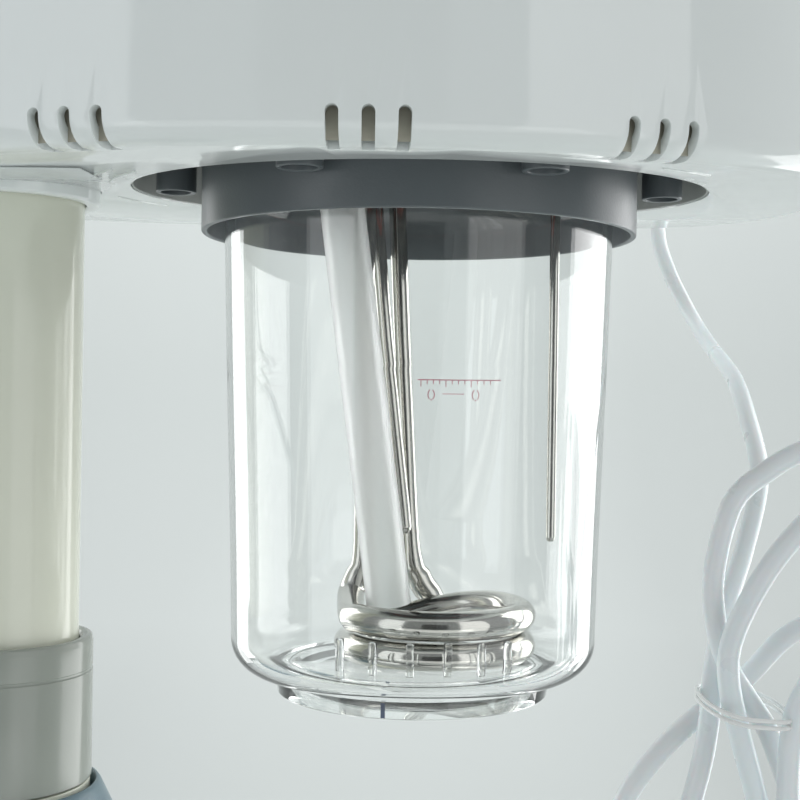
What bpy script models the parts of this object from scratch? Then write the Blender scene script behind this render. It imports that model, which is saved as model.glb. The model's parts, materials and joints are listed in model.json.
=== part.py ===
"""A professional facial steamer on a rolling stand.

A boiler head hangs a clear screw-in jar, with its heating coil inside, beside a telescopic
pole on a five-legged caster base.  Steam leaves through a jointed arm on top of the head.

Design units are millimetres; the helpers turn them into metres.  X runs to the right,
Y to the back and Z up.  The origin is on the floor, at the centre of the footprint.
"""

import math

import bmesh
import bpy
from mathutils import Matrix, Vector

MM = 0.001
GAP = 0.3  # running and assembly gap between separate pieces

# ---------------------------------------------------------------- driving dimensions
LEG_COUNT = 5
LEG_REACH = 250.0  # pole axis to caster stem
CASTER_TRAIL = 16.0
WHEEL_R = 25.0
WHEEL_SIDES = 14
WHEEL_WIDTH = 9.0
FORK_WIDTH = 9.0
HOOD_R = 29.0
HOOD_HALF_ANGLE = math.radians(72)  # from the top

JAR_OFFSET = 125.0  # pole axis to jar axis
UNDERSIDE_Z = 720.0  # head underside on the jar axis
UNDERSIDE_SLOPE = math.tan(math.radians(3))  # rises to the back
HEAD_HALF_WIDTH = 151.0
HEAD_HALF_DEPTH = 122.0
HEAD_SHIFT = (-20.0, 12.0)  # head centre from the jar axis
SHELL = 3.0
LOWER_HEIGHT = 62.0
UPPER_HEIGHT = 84.0

RECESS_R = 84.6
RECESS_DEPTH = 24.0
COLLAR_R = 65.0
COLLAR_WALL = 2.0
COLLAR_DROP = 13.0
BOSS_CIRCLE_R = 73.0
BOSS_R = 6.0
BOSS_ANGLES = (0, 65, 115, 180, 245, 295)
VENT_FAN_R = 206.0
LID = (15.0, 19.9)  # heights of the boiler lid above the underside

JAR_TOP_R = 57.8
JAR_FOOT_R = 40.3
JAR_WALL = 2.8
JAR_BASE_R = 54.2
JAR_CORNER = 10.5
JAR_DROP = 148.3  # underside to the bottom of the jar's foot

POLE_R = 24.0
OUTER_POLE_R = 28.0
SLEEVE_TOP_Z = UNDERSIDE_Z - 133.8
SLEEVE_HEIGHT = 43.0
POLE_FOOT_Z = 285.0

COIL_CENTRE = (6.6, 0.0)
COIL_R = 26.0
COIL_TUBE_R = 4.2
LEG_R = 3.0
COIL_TOP = -125.0
COIL_STEP = 9.0
COIL_SWEEP = 2 * math.pi * 1.75
COIL_POINTS = 36
SPLASH_LEAN = Vector((-0.131, -0.03, 1.0)).normalized()
FEED = {  # what passes through the boiler lid: place from the jar axis, and hole radius
    "leg_a": ((-16.0, 13.0), 3.6),
    "leg_b": ((-6.5, 32.0), 3.6),
    "sensor": ((-14.5, 25.0), 2.9),
    "probe": ((41.5, 2.0), 4.4),
    "splash": ((-23.2, -9.5), 8.2),
    "steam": ((0.0, -3.0), 9.0),
}

ARM_RISE = math.radians(42)
ARM_LENGTH = 215.0
BUTTON_PLACES = (-33, -11)  # from the middle of the control panel
KNOB_PLACE = 22

CORD_R = 3.5
HANK_TURNS = 3.25
HANK_PINCH = 8.6
HANK_TOP_WIDTH = 90.0
HANK_BOTTOM_WIDTH = 24.0
HANK_HEIGHT = 88.0
HANK_LEAN = 0.5
HANK_PITCH = 7.8
PLUG_DROP = 132.0

# ---------------------------------------------------------------- derived places
WHEEL_AXLE_Z = WHEEL_R * math.cos(math.pi / WHEEL_SIDES)  # a flat of the tread is on the floor
CASTER_LENGTH = LEG_REACH + CASTER_TRAIL + HOOD_R * math.sin(HOOD_HALF_ANGLE)
CASTER_HALF_WIDTH = FORK_WIDTH / 2 + GAP + WHEEL_WIDTH
BACKWARD_LEG = math.pi / LEG_COUNT
POLE_X = -(CASTER_LENGTH * (1 - math.cos(BACKWARD_LEG)) - CASTER_HALF_WIDTH * math.sin(BACKWARD_LEG)) / 2
JAR_X = POLE_X + JAR_OFFSET
HEAD_X = JAR_X + HEAD_SHIFT[0]
HEAD_Y = HEAD_SHIFT[1]
PARTING_Z = UNDERSIDE_Z + LOWER_HEIGHT
HEAD_TOP_Z = PARTING_Z + UPPER_HEIGHT
SLEEVE_BOTTOM_Z = SLEEVE_TOP_Z - SLEEVE_HEIGHT
PANEL_PLACE = (HEAD_X - 66, HEAD_Y - 46)
ARM_PIVOT = (JAR_X, 0.0, HEAD_TOP_Z + 34.5)
ARM_DIRECTION = Vector((0, -math.cos(ARM_RISE), math.sin(ARM_RISE)))
HANK_TIE = Vector((JAR_X + 99, -6, UNDERSIDE_Z - 155))
GLAND = Vector((JAR_X + 84, 122.7, UNDERSIDE_Z + 22))  # on the rear corner of the head
CORD_OUT = Vector((0.385, 0.923, 0)).normalized()  # square to the face there


# ---------------------------------------------------------------- scene and materials
def start():
    for obj in list(bpy.data.objects):
        bpy.data.objects.remove(obj, do_unlink=True)
    found = []
    for name in ("facial_steamer", "cutters"):
        collection = bpy.data.collections.new(name)
        bpy.context.scene.collection.children.link(collection)
        found.append(collection)
    return found


PARTS, CUTTERS = start()
COLOURS = {
    "white_shell": ((0.60, 0.64, 0.63), 0.22, 0.0, 1.0),
    "cream_pole": ((0.52, 0.53, 0.46), 0.25, 0.0, 1.0),
    "grey_sleeve": ((0.36, 0.39, 0.36), 0.3, 0.0, 1.0),
    "slate_nut": ((0.13, 0.18, 0.21), 0.4, 0.0, 1.0),
    "dark_collar": ((0.055, 0.065, 0.07), 0.4, 0.0, 1.0),
    "clear_jar": ((0.95, 0.97, 0.97), 0.03, 0.0, 0.25),
    "steel": ((0.6, 0.6, 0.57), 0.18, 1.0, 1.0),
    "silicone": ((0.75, 0.78, 0.77), 0.45, 0.0, 0.7),
    "red_seal": ((0.45, 0.1, 0.07), 0.6, 0.0, 1.0),
    "cord_white": ((0.68, 0.73, 0.73), 0.5, 0.0, 1.0),
    "brass": ((0.7, 0.5, 0.2), 0.3, 1.0, 1.0),
    "circuit_green": ((0.04, 0.22, 0.1), 0.5, 0.0, 1.0),
    "black_rubber": ((0.03, 0.03, 0.03), 0.7, 0.0, 1.0),
    "panel_grey": ((0.2, 0.22, 0.23), 0.35, 0.0, 1.0),
    "button_white": ((0.75, 0.76, 0.75), 0.35, 0.0, 1.0),
    "lamp_glass": ((0.8, 0.85, 0.95), 0.05, 0.0, 0.4),
}


def material(name):
    found = bpy.data.materials.get(name)
    if found:
        return found
    colour, roughness, metallic, alpha = COLOURS[name]
    made = bpy.data.materials.new(name)
    made.use_nodes = True
    shader = made.node_tree.nodes["Principled BSDF"]
    shader.inputs["Base Color"].default_value = (*colour, 1)
    shader.inputs["Roughness"].default_value = roughness
    shader.inputs["Metallic"].default_value = metallic
    shader.inputs["Alpha"].default_value = alpha
    return made


# ---------------------------------------------------------------- modelling helpers (mm)
def placed(name, data, finish, at=(0, 0, 0), turn=None):
    """A new object with its origin at a point in millimetres; turn is a rotation matrix."""
    obj = bpy.data.objects.new(name, data)
    PARTS.objects.link(obj)
    data.materials.append(material(finish))
    obj.matrix_world = Matrix.Translation(Vector(at) * MM) @ (turn or Matrix.Identity(3)).to_4x4()
    return obj


def mesh_from(bm, name):
    bmesh.ops.scale(bm, vec=(MM, MM, MM), verts=bm.verts)
    data = bpy.data.meshes.new(name)
    bm.to_mesh(data)
    bm.free()
    data.shade_smooth()
    data.set_sharp_from_angle(angle=math.radians(35))
    return data


def block(name, size, finish="white_shell", at=(0, 0, 0), turn=None, bevel=0.0, taper=None):
    """A box centred on its own origin; taper scales its +X end in Y and Z."""
    bm = bmesh.new()
    bmesh.ops.create_cube(bm, size=1)
    bmesh.ops.scale(bm, vec=size, verts=bm.verts)
    if taper:
        for vert in bm.verts:
            if vert.co.x > 0:
                vert.co.y *= taper[0]
                vert.co.z *= taper[1]
    obj = placed(name, mesh_from(bm, name), finish, at, turn)
    if bevel:
        rounded(obj, bevel)
    return obj


def rod(name, radius, low, high, finish="white_shell", at=(0, 0, 0), turn=None, sides=24, top_radius=None):
    """A cylinder or cone along its own Z from low to high."""
    bm = bmesh.new()
    top = radius if top_radius is None else top_radius
    bmesh.ops.create_cone(
        bm, cap_ends=True, segments=sides, radius1=radius, radius2=top, depth=high - low
    )
    bmesh.ops.translate(bm, vec=(0, 0, (low + high) / 2), verts=bm.verts)
    return placed(name, mesh_from(bm, name), finish, at, turn)


def turned(name, profile, finish, at=(0, 0, 0), sides=48, closed=True, turn=None):
    """A profile of (radius, height) points spun round Z; it runs down the outer side."""
    bm = bmesh.new()
    verts = [bm.verts.new((radius, 0, height)) for radius, height in profile]
    for first, second in zip(verts, verts[1:]):
        bm.edges.new((first, second))
    if closed:
        bm.edges.new((verts[-1], verts[0]))
    obj = placed(name, mesh_from(bm, name), finish, at, turn)
    screw = obj.modifiers.new("spin", "SCREW")
    screw.steps = screw.render_steps = sides
    screw.use_merge_vertices = True
    screw.merge_threshold = 0.00001
    return obj


def rounded(obj, width, segments=1, angle=40):
    bevel = obj.modifiers.new("round", "BEVEL")
    bevel.width = width * MM
    bevel.segments = segments
    bevel.limit_method = "ANGLE"
    bevel.angle_limit = math.radians(angle)
    return obj


def tube(name, points, radius, finish, resolution=2, thickness=None):
    """A round wire through points in world millimetres; thickness scales the radius by point."""
    curve = bpy.data.curves.new(name, "CURVE")
    curve.dimensions = "3D"
    curve.bevel_depth = radius * MM
    curve.bevel_resolution = resolution
    curve.use_fill_caps = True
    spline = curve.splines.new("POLY")
    spline.points.add(len(points) - 1)
    for index, (target, point) in enumerate(zip(spline.points, points)):
        target.co = (*(Vector(point) * MM), 1)
        target.radius = thickness[index] if thickness else 1.0
    return placed(name, curve, finish)


def frozen(obj):
    """The object with its curve or modifiers made into one plain mesh."""
    graph = bpy.context.evaluated_depsgraph_get()
    data = bpy.data.meshes.new_from_object(obj.evaluated_get(graph), depsgraph=graph)
    bm = bmesh.new()
    bm.from_mesh(data)
    bmesh.ops.remove_doubles(bm, verts=bm.verts, dist=0.000005)
    bm.to_mesh(data)
    bm.free()
    name, matrix = obj.name, obj.matrix_world.copy()
    bpy.data.objects.remove(obj, do_unlink=True)
    fresh = bpy.data.objects.new(name, data)
    PARTS.objects.link(fresh)
    fresh.matrix_world = matrix
    return fresh


def boolean(target, tool, operation):
    if tool.type == "CURVE":
        tool = frozen(tool)
    if tool.name in PARTS.objects:
        PARTS.objects.unlink(tool)
        CUTTERS.objects.link(tool)
    tool.hide_render = True
    tool.display_type = "WIRE"
    modifier = target.modifiers.new(operation.lower(), "BOOLEAN")
    modifier.operation = operation
    modifier.object = tool
    modifier.solver = "EXACT"
    return target


def cut(target, *tools):
    for tool in tools:
        boolean(target, tool, "DIFFERENCE")
    return target


def join(target, *others):
    for other in others:
        boolean(target, other, "UNION")
    return target


def gathered(name, objects):
    """Several separate tools as one mesh, so that one Boolean takes them all."""
    bpy.context.view_layer.update()
    bm = bmesh.new()
    for obj in objects:
        single = frozen(obj)
        data = single.data.copy()
        data.transform(single.matrix_world)
        bm.from_mesh(data)
        bpy.data.objects.remove(single, do_unlink=True)
    data = bpy.data.meshes.new(name)
    bm.to_mesh(data)
    bm.free()
    obj = bpy.data.objects.new(name, data)
    PARTS.objects.link(obj)
    return obj


def about_z(angle):
    return Matrix.Rotation(angle, 3, "Z")


def along(direction):
    """A rotation that takes Z to a direction."""
    return Vector(direction).to_track_quat("Z", "Y").to_matrix()


def polar(radius, angle, x=0.0, y=0.0, z=0.0):
    return (x + radius * math.cos(angle), y + radius * math.sin(angle), z)


# ---------------------------------------------------------------- head outline
def head_outline(inset=0.0, count=52):
    """Evenly spaced plan points about the head's centre: an elliptic front, a squarer back."""
    half_x, half_y = HEAD_HALF_WIDTH - inset, HEAD_HALF_DEPTH - inset
    fine = []
    steps = 1440
    for step in range(steps):
        angle = 2 * math.pi * step / steps
        c, s = math.cos(angle), math.sin(angle)
        power = 2 / (2.1 if s < 0 else 3.4)
        fine.append(
            Vector((math.copysign(abs(c) ** power, c) * half_x, math.copysign(abs(s) ** power, s) * half_y))
        )
    lengths = [0.0]
    for first, second in zip(fine, fine[1:] + fine[:1]):
        lengths.append(lengths[-1] + (second - first).length)
    points, index = [], 0
    for number in range(count):
        wanted = lengths[-1] * number / count
        while lengths[index + 1] < wanted:
            index += 1
        share = (wanted - lengths[index]) / (lengths[index + 1] - lengths[index])
        points.append(fine[index].lerp(fine[(index + 1) % steps], share))
    return points


def head_prism(name, height, inset=0.0, finish="white_shell"):
    """The head's plan as a closed prism on its own origin, from z 0 to height."""
    curve = bpy.data.curves.new(name, "CURVE")
    curve.dimensions = "2D"
    curve.fill_mode = "BOTH"
    curve.extrude = height / 2 * MM
    spline = curve.splines.new("POLY")
    points = head_outline(inset)
    spline.points.add(len(points) - 1)
    spline.use_cyclic_u = True
    for target, point in zip(spline.points, points):
        target.co = (point.x * MM, point.y * MM, 0, 1)
    obj = frozen(placed(name, curve, finish))
    bm = bmesh.new()
    bm.from_mesh(obj.data)
    bmesh.ops.translate(bm, vec=(0, 0, height / 2 * MM), verts=bm.verts)
    bmesh.ops.dissolve_limit(bm, angle_limit=0.01, verts=bm.verts, edges=bm.edges)
    bmesh.ops.recalc_face_normals(bm, faces=bm.faces)
    bm.to_mesh(obj.data)
    bm.free()
    return obj


def open_end(obj, upper, slope=0.0, level=0.0):
    """Removes the top or bottom face of a prism and slopes the face that stays."""
    bm = bmesh.new()
    bm.from_mesh(obj.data)
    bm.faces.ensure_lookup_table()
    lids = sorted((f for f in bm.faces if abs(f.normal.z) > 0.9), key=lambda f: f.calc_center_median().z)
    gone = lids[-1] if upper else lids[0]
    kept = lids[0] if upper else lids[-1]
    for vert in kept.verts:
        vert.co.z += slope * (vert.co.y - level)
    bmesh.ops.delete(bm, geom=[gone], context="FACES_ONLY")
    bm.normal_update()
    bm.to_mesh(obj.data)
    bm.free()


def shell(name, height, upper_open, edge, edge_segments, slope=0.0):
    """A thin moulded half of the head: rounded closed end, open other end."""
    obj = head_prism(name, height)
    open_end(obj, upper_open, slope, -HEAD_Y * MM)
    rounded(obj, edge, edge_segments, 50)
    wall = obj.modifiers.new("wall", "SOLIDIFY")
    wall.thickness = SHELL * MM
    wall.offset = -1
    wall.use_even_offset = True
    return obj


# ---------------------------------------------------------------- rolling base
def star_base():
    hub = turned(
        "star_base",
        [(0, 134), (31, 134), (36, 130), (44, 92), (44, 74), (40, 70), (0, 70)],
        "white_shell",
        (POLE_X, 0, 0),
        30,
        closed=False,
    )
    for number in range(LEG_COUNT):
        angle = 2 * math.pi * number / LEG_COUNT
        middle = (LEG_REACH + 20) / 2
        leg = block(
            f"leg_{number + 1}",
            (LEG_REACH - 20, 34, 26),
            at=polar(middle, angle, POLE_X, 0, 79),
            turn=about_z(angle) @ Matrix.Rotation(math.radians(3.2), 3, "Y"),
            bevel=5,
            taper=(0.6, 0.62),
        )
        end = rod(f"leg_end_{number + 1}", 14, 56.5, 84, at=polar(LEG_REACH, angle, POLE_X), sides=12)
        join(hub, leg, end)
    holes = [rod("pole_hole", OUTER_POLE_R + 0.8, 84, 150, at=(POLE_X, 0, 0), sides=28)]
    for number in range(LEG_COUNT):
        angle = 2 * math.pi * number / LEG_COUNT
        holes.append(rod(f"stem_hole_{number}", 5.0, 50, 79, at=polar(LEG_REACH, angle, POLE_X), sides=10))
    cut(hub, gathered("base_holes", holes))


def caster(number):
    angle = 2 * math.pi * (number - 1) / LEG_COUNT
    stem = polar(LEG_REACH, angle, POLE_X)
    facing = about_z(angle)
    sideways = facing @ Matrix.Rotation(math.pi / 2, 3, "X")
    axle = facing @ Vector((CASTER_TRAIL, 0, 0)) + Vector(stem) + Vector((0, 0, WHEEL_AXLE_Z))
    reach = CASTER_HALF_WIDTH
    housing = rod(f"caster_fork_{number}", 4.4, 36, 76, "grey_sleeve", stem, sides=8)
    neck = rod(f"caster_neck_{number}", 10, 51.5, 55.8, "grey_sleeve", stem, sides=12)
    web = rod(f"caster_web_{number}", 21, -FORK_WIDTH / 2, FORK_WIDTH / 2, at=axle, turn=sideways, sides=14)
    hood = rod(f"caster_hood_{number}", HOOD_R, -reach, reach, at=axle, turn=sideways, sides=18)
    well = rod(
        f"caster_well_{number}", HOOD_R - 2.4, -reach - 1, reach + 1, at=axle, turn=sideways, sides=18
    )
    drop = HOOD_R * math.cos(HOOD_HALF_ANGLE)
    below = block(f"caster_open_{number}", (90, 90, 90), at=axle + Vector((0, 0, drop - 45)), turn=facing)
    cut(hood, well, below)
    join(housing, neck, frozen(hood), web)
    cut(housing, rod(f"axle_hole_{number}", 3.6, -20, 20, at=axle, turn=sideways, sides=10))
    inner = FORK_WIDTH / 2 + GAP
    outer = inner + WHEEL_WIDTH
    tread = WHEEL_R
    profile = [
        (0, outer), (tread - 6, outer), (tread, outer - 1.5), (tread, inner), (3, inner), (3, -inner),
        (tread, -inner), (tread, -outer + 1.5), (tread - 6, -outer), (0, -outer),
    ]
    wheels = f"caster_wheels_{number}"
    turned(wheels, profile, "black_rubber", axle, WHEEL_SIDES, closed=False, turn=sideways)


# ---------------------------------------------------------------- telescopic pole
def ring(outer, inner, low, high):
    """The rectangular profile of a tube."""
    return [(outer, high), (outer, low), (inner, low), (inner, high)]


def pole():
    at = (POLE_X, 0, 0)
    bore = OUTER_POLE_R - 2
    rim = OUTER_POLE_R + 0.4
    low = SLEEVE_BOTTOM_Z
    top = SLEEVE_TOP_Z
    spigot = low - 22
    turned("outer_pole", ring(OUTER_POLE_R, bore, 84.5, low - GAP), "cream_pole", at, 28)
    sleeve = [
        (POLE_R + 2.6, top), (OUTER_POLE_R - 0.4, top - 0.5), (rim, top - 1.8), (rim, low),
        (bore - GAP, low), (bore - GAP, spigot), (POLE_R + GAP, spigot), (POLE_R + GAP, top - 1.2),
    ]
    turned("pole_sleeve", sleeve, "grey_sleeve", at, 28)
    turned("inner_pole", ring(POLE_R, POLE_R - 2, POLE_FOOT_Z, UNDERSIDE_Z + 44), "cream_pole", at, 28)
    bush = ring(bore - GAP, POLE_R + GAP, POLE_FOOT_Z, POLE_FOOT_Z + 28)
    turned("guide_bush", bush, "black_rubber", at, 28)
    lock_nut(at)


def lock_nut(at):
    top = SLEEVE_BOTTOM_Z - 0.6
    inner = OUTER_POLE_R + 1.2
    nut = turned(
        "lock_nut",
        [
            (inner + 0.8, top), (inner + 7.8, top - 13), (inner + 8.8, top - 16), (inner + 8.8, top - 40),
            (inner + 6, top - 44), (inner, top - 44), (inner, top - 0.8),
        ],
        "slate_nut", at, 24,
    )
    flutes = 8
    grooves = [
        rod(f"flute_{n}", 3.4, top - 50, top - 17, sides=8,
            at=polar(inner + 10.6, 2 * math.pi * (n + 0.5) / flutes, POLE_X))
        for n in range(flutes)
    ]
    cut(nut, gathered("flutes", grooves))


# ---------------------------------------------------------------- head shells
def lower_shell():
    body = shell("head_lower_shell", LOWER_HEIGHT, True, 7, 2, UNDERSIDE_SLOPE)
    body.location = Vector((HEAD_X, HEAD_Y, UNDERSIDE_Z)) * MM
    well = rod("well", RECESS_R, -30, 30, at=(JAR_X, 0, UNDERSIDE_Z), sides=44)
    pole_hole = rod("pole_hole_head", POLE_R + 4.9, -30, 40, at=(POLE_X, 0, UNDERSIDE_Z), sides=28)
    cut(body, well, pole_hole)
    cord_hole = rod("cord_hole", 7.4, -20, 20, at=GLAND, turn=along(CORD_OUT), sides=16)
    cut(body, cord_hole, gathered("vents", vent_cutters()))


def recess_liner():
    """The cup round the collar: it stands on the shell's floor, and the collar's screws hold it."""
    at = (JAR_X, 0, UNDERSIDE_Z)
    outer, ceiling = RECESS_R + 3.2, RECESS_DEPTH + SHELL
    liner = rod("recess_liner", outer, SHELL + GAP, ceiling, "grey_sleeve", at, sides=44)
    lean_bottom(liner)
    well = rod("liner_well", RECESS_R + 0.2, -30, RECESS_DEPTH, at=at, sides=44)
    neck = rod("neck_hole", COLLAR_R - 3, 0, 60, at=at, sides=32)
    cut(liner, well, neck)
    holes = [
        rod(f"ceiling_hole_{n}", 2.3, RECESS_DEPTH - 5, RECESS_DEPTH + 20, at=spot, sides=8)
        for n, spot in enumerate(boss_places(UNDERSIDE_Z))
    ]
    cut(liner, gathered("ceiling_holes", holes))


def lean_bottom(obj):
    """Slopes the bottom of an upright piece like the underside."""
    middle = min(v.co.z for v in obj.data.vertices) + 0.001
    for vert in obj.data.vertices:
        if vert.co.z < middle:
            vert.co.z += UNDERSIDE_SLOPE * vert.co.y


def vent_cutters():
    """Three groups of three slots that wrap round the front lower edge, square to the face."""
    centre = Vector((JAR_X - 17, 96))
    slots = []
    for group in (-69.7, 0, 69.7):
        for place in (-8.1, 0, 8.1):
            angle = (group + place + 4.4) / VENT_FAN_R - math.pi / 2
            spot = face_point(centre, Vector((math.cos(angle), math.sin(angle))), 3)
            top = UNDERSIDE_Z + 8.0 + UNDERSIDE_SLOPE * spot.y
            slots.append(block("vent", (15, 3.0, 26), at=(*spot, top - 13), turn=about_z(angle)))
    return slots


def face_point(start, direction, depth):
    """The point on the head's face in a direction from a start, moved inwards by a depth."""
    points = [Vector((HEAD_X, HEAD_Y)) + p for p in head_outline(0, 360)]
    best = max(points, key=lambda p: (p - start).normalized().dot(direction))
    return start + direction * ((best - start).length - depth)


def boss_places(height):
    return [polar(BOSS_CIRCLE_R, math.radians(a), JAR_X, 0, height) for a in BOSS_ANGLES]


def upper_shell():
    body = shell("head_upper_shell", UPPER_HEIGHT, False, 26, 3)
    body.location = Vector((HEAD_X, HEAD_Y, PARTING_Z + GAP)) * MM
    turret = rod("turret_hole", 19.6, -20, 20, at=(JAR_X, 0, HEAD_TOP_Z), sides=20)
    panel = block("panel_hole", (92, 44, 30), at=(*PANEL_PLACE, HEAD_TOP_Z))
    cut(body, gathered("top_holes", [turret, panel]))


# ---------------------------------------------------------------- controls
def controls():
    x, y = PANEL_PLACE
    top = HEAD_TOP_Z + 1.9
    panel = block("control_panel", (100, 52, 3), "panel_grey", (x, y, top), bevel=1)
    join(panel, block("panel_lip", (90, 42, 8), at=(x, y, top - 4.4)))
    holes = [rod(f"button_hole_{n}", 8.6, -14, 12, at=(x + dx, y, top), sides=16)
             for n, dx in enumerate(BUTTON_PLACES)]
    holes.append(rod("knob_hole", 3.6, -14, 12, at=(x + KNOB_PLACE, y, top), sides=12))
    cut(panel, gathered("panel_holes", holes))
    button = [(0, 4.4), (6.8, 4.4), (7.8, 3.4), (7.8, -5), (5, -5), (5, -9), (0, -9)]
    for name, dx in zip(("power_button", "ozone_button"), BUTTON_PLACES):
        turned(name, button, "button_white", (x + dx, y, top), 16, closed=False)
    profile = [(0, 14), (11, 14), (13, 12), (15, 0), (3, 0), (3, -10), (0, -10)]
    knob = turned("timer_knob", profile, "dark_collar", (x + KNOB_PLACE, y, top + 1.9), 20, closed=False)
    cut(knob, block("knob_mark", (2, 9, 3), at=(x + KNOB_PLACE, y + 8, top + 15.9)))
    block("control_board", (96, 48, 1.6), "circuit_green", (x, y, top - 24.5))
    block("timer_motor", (26, 26, 5.4), "steel", (x + KNOB_PLACE, y, top - 16.7))


# ---------------------------------------------------------------- boiler
def jar_collar():
    at = (JAR_X, 0, UNDERSIDE_Z)
    inner = COLLAR_R - COLLAR_WALL
    top = RECESS_DEPTH - GAP
    rim = -COLLAR_DROP
    body = turned(
        "jar_collar",
        [
            (80, top), (80, top - 3.5), (COLLAR_R, top - 3.5), (COLLAR_R, rim + 0.6), (COLLAR_R - 0.7, rim),
            (inner, rim), (inner, top - 3.5), (46, top - 3.5), (46, top),
        ],
        "dark_collar", at, 40,
    )
    bosses, bores = [], []
    for spot in boss_places(UNDERSIDE_Z):
        low = UNDERSIDE_SLOPE * spot[1]
        bosses.append(rod("boss", BOSS_R, low, top - 1, at=spot, sides=14))
        bores.append(rod("bore", 4.6, -20, 14, at=spot, sides=10))
        bores.append(rod("through", 2.3, 12, 40, at=spot, sides=8))
    join(body, gathered("bosses", bosses))
    cut(body, gathered("thin_bores", bores[1::2]), gathered("wide_bores", bores[::2]))


def collar_screws():
    profile = [(0, 31), (1.7, 29), (1.7, 13.6), (3.6, 13.6), (3.6, 12), (2.6, 10.9), (0, 10.9)]
    for number, spot in enumerate(boss_places(UNDERSIDE_Z)):
        turned(f"collar_screw_{number + 1}", profile, "steel", spot, 8, closed=False)


def feed_place(name, height):
    (x, y), _ = FEED[name]
    return (JAR_X + x, y, UNDERSIDE_Z + height)


def boiler_lid():
    at = (JAR_X, 0, UNDERSIDE_Z)
    lid = rod("boiler_lid", COLLAR_R - COLLAR_WALL - GAP, *LID, "dark_collar", at, sides=32)
    lean = along(SPLASH_LEAN)
    spigot = rod("splash_spigot", 4.8, 4, 16, at=feed_place("splash", 0), turn=lean, sides=12)
    bore = rod("spigot_bore", 3.4, -5, 30, at=feed_place("splash", 0), turn=lean, sides=10)
    holes = [
        rod(f"feed_{name}", radius, LID[0] - 3, LID[1] + 3, at=feed_place(name, 0), sides=12)
        for name, (_, radius) in FEED.items() if name != "splash"
    ]
    join(lid, spigot)
    cut(lid, gathered("feed_holes", holes), bore)
    turned("jar_gasket", ring(58.6, 54.4, 11.3, 14.7), "red_seal", at, 32)


def splash_tube():
    """Soft tube pushed over the lid's spigot, leaning into the middle of the coil."""
    at = feed_place("splash", 0)
    turned("splash_tube", ring(6.6, 5.1, -123.5, 13.6), "silicone", at, 16, turn=along(SPLASH_LEAN))


def smooth(share):
    share = min(1.0, max(0.0, share))
    return share * share * (3 - 2 * share)


def coil_point(turned_by):
    """Two flat turns: from the left side, round the front, and out behind at the back."""
    swell = 9.6 * smooth((turned_by - (COIL_SWEEP - 1.3)) / 1.1)
    drop = COIL_STEP * smooth((turned_by - math.radians(215)) / math.radians(130))
    x, y, _ = polar(COIL_R + swell, math.pi + turned_by, *COIL_CENTRE)
    return Vector((x, y, COIL_TOP - drop))


def quarter(centre, first, second, steps=4):
    """Points between the ends of a quarter bend about a centre, from one arm to another."""
    angles = [math.pi / 2 * step / steps for step in range(1, steps)]
    return [centre + Vector(first) * math.cos(a) + Vector(second) * math.sin(a) for a in angles]


def heater():
    """One steel tube: thin leg, quarter bend, coil, quarter bend, thin leg."""
    radius = 9.0
    first, last = coil_point(0), coil_point(COIL_SWEEP)
    top, low = LID[1] + 11, LID[0] - 4
    (ax, ay), (bx, by) = FEED["leg_a"][0], FEED["leg_b"][0]
    corner_a = first + Vector((0, 0, radius))
    corner_b = last + Vector((0, 0, 6))
    leg_a = [Vector((ax, ay, top)), Vector((ax, ay, low)), Vector((-14, 13, -96)), Vector((-15.4, 12, -107))]
    leg_b = [Vector((1.4, 32.4, -114)), Vector((bx, by, low)), Vector((bx, by, top))]
    coil = [coil_point(COIL_SWEEP * step / COIL_POINTS) for step in range(COIL_POINTS + 1)]
    thick = quarter(corner_a, (0, radius, 0), (0, 0, -radius)) + coil
    thick += quarter(corner_b, (0, 0, -6), (-6, 0, 0))
    points = [p + Vector((JAR_X, 0, UNDERSIDE_Z)) for p in leg_a + thick + leg_b]
    thin = LEG_R / COIL_TUBE_R
    radii = [thin] * 4 + [1.0] * len(thick) + [thin] * 3
    tube("heater_coil", points, COIL_TUBE_R, "steel", 1, radii)
    for name, feed in (("heater_nut_left", "leg_a"), ("heater_nut_right", "leg_b")):
        nut = rod(name, 6.2, LID[1] + 0.3, LID[1] + 5.6, "brass", feed_place(feed, 0), sides=6)
        cut(nut, rod(f"{name}_bore", 3.5, LID[1] - 2, LID[1] + 9, at=feed_place(feed, 0), sides=12))


def sensors():
    low = LID[0] - 4
    well_end = (JAR_X - 3.2, 21.5, UNDERSIDE_Z - 102)
    tube("sensor_well", [feed_place("sensor", 26), feed_place("sensor", low), well_end], 2.3, "steel", 1)
    at = feed_place("probe", 0)
    probe = [(0, 33), (1.35, 33), (1.35, -102.2), (0.9, -103.4), (0, -103.7)]
    turned("level_probe", probe, "steel", at, 10, closed=False)
    bush = [(4.0, LID[1] + 4), (4.0, LID[0] - GAP), (6.2, LID[0] - GAP), (6.2, low), (1.65, low),
            (1.65, LID[1] + 4)]
    turned("probe_bush", bush, "silicone", at, 12)


def corner_arc(radius, steps, floor):
    """The jar's rounded bottom corner at a radius of its own, from the side to the floor."""
    angles = [math.pi / 2 * step / steps for step in range(steps + 1)]
    centre = JAR_BASE_R - JAR_CORNER
    return [(centre + radius * math.cos(a), floor + JAR_CORNER - radius * math.sin(a)) for a in angles]


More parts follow.
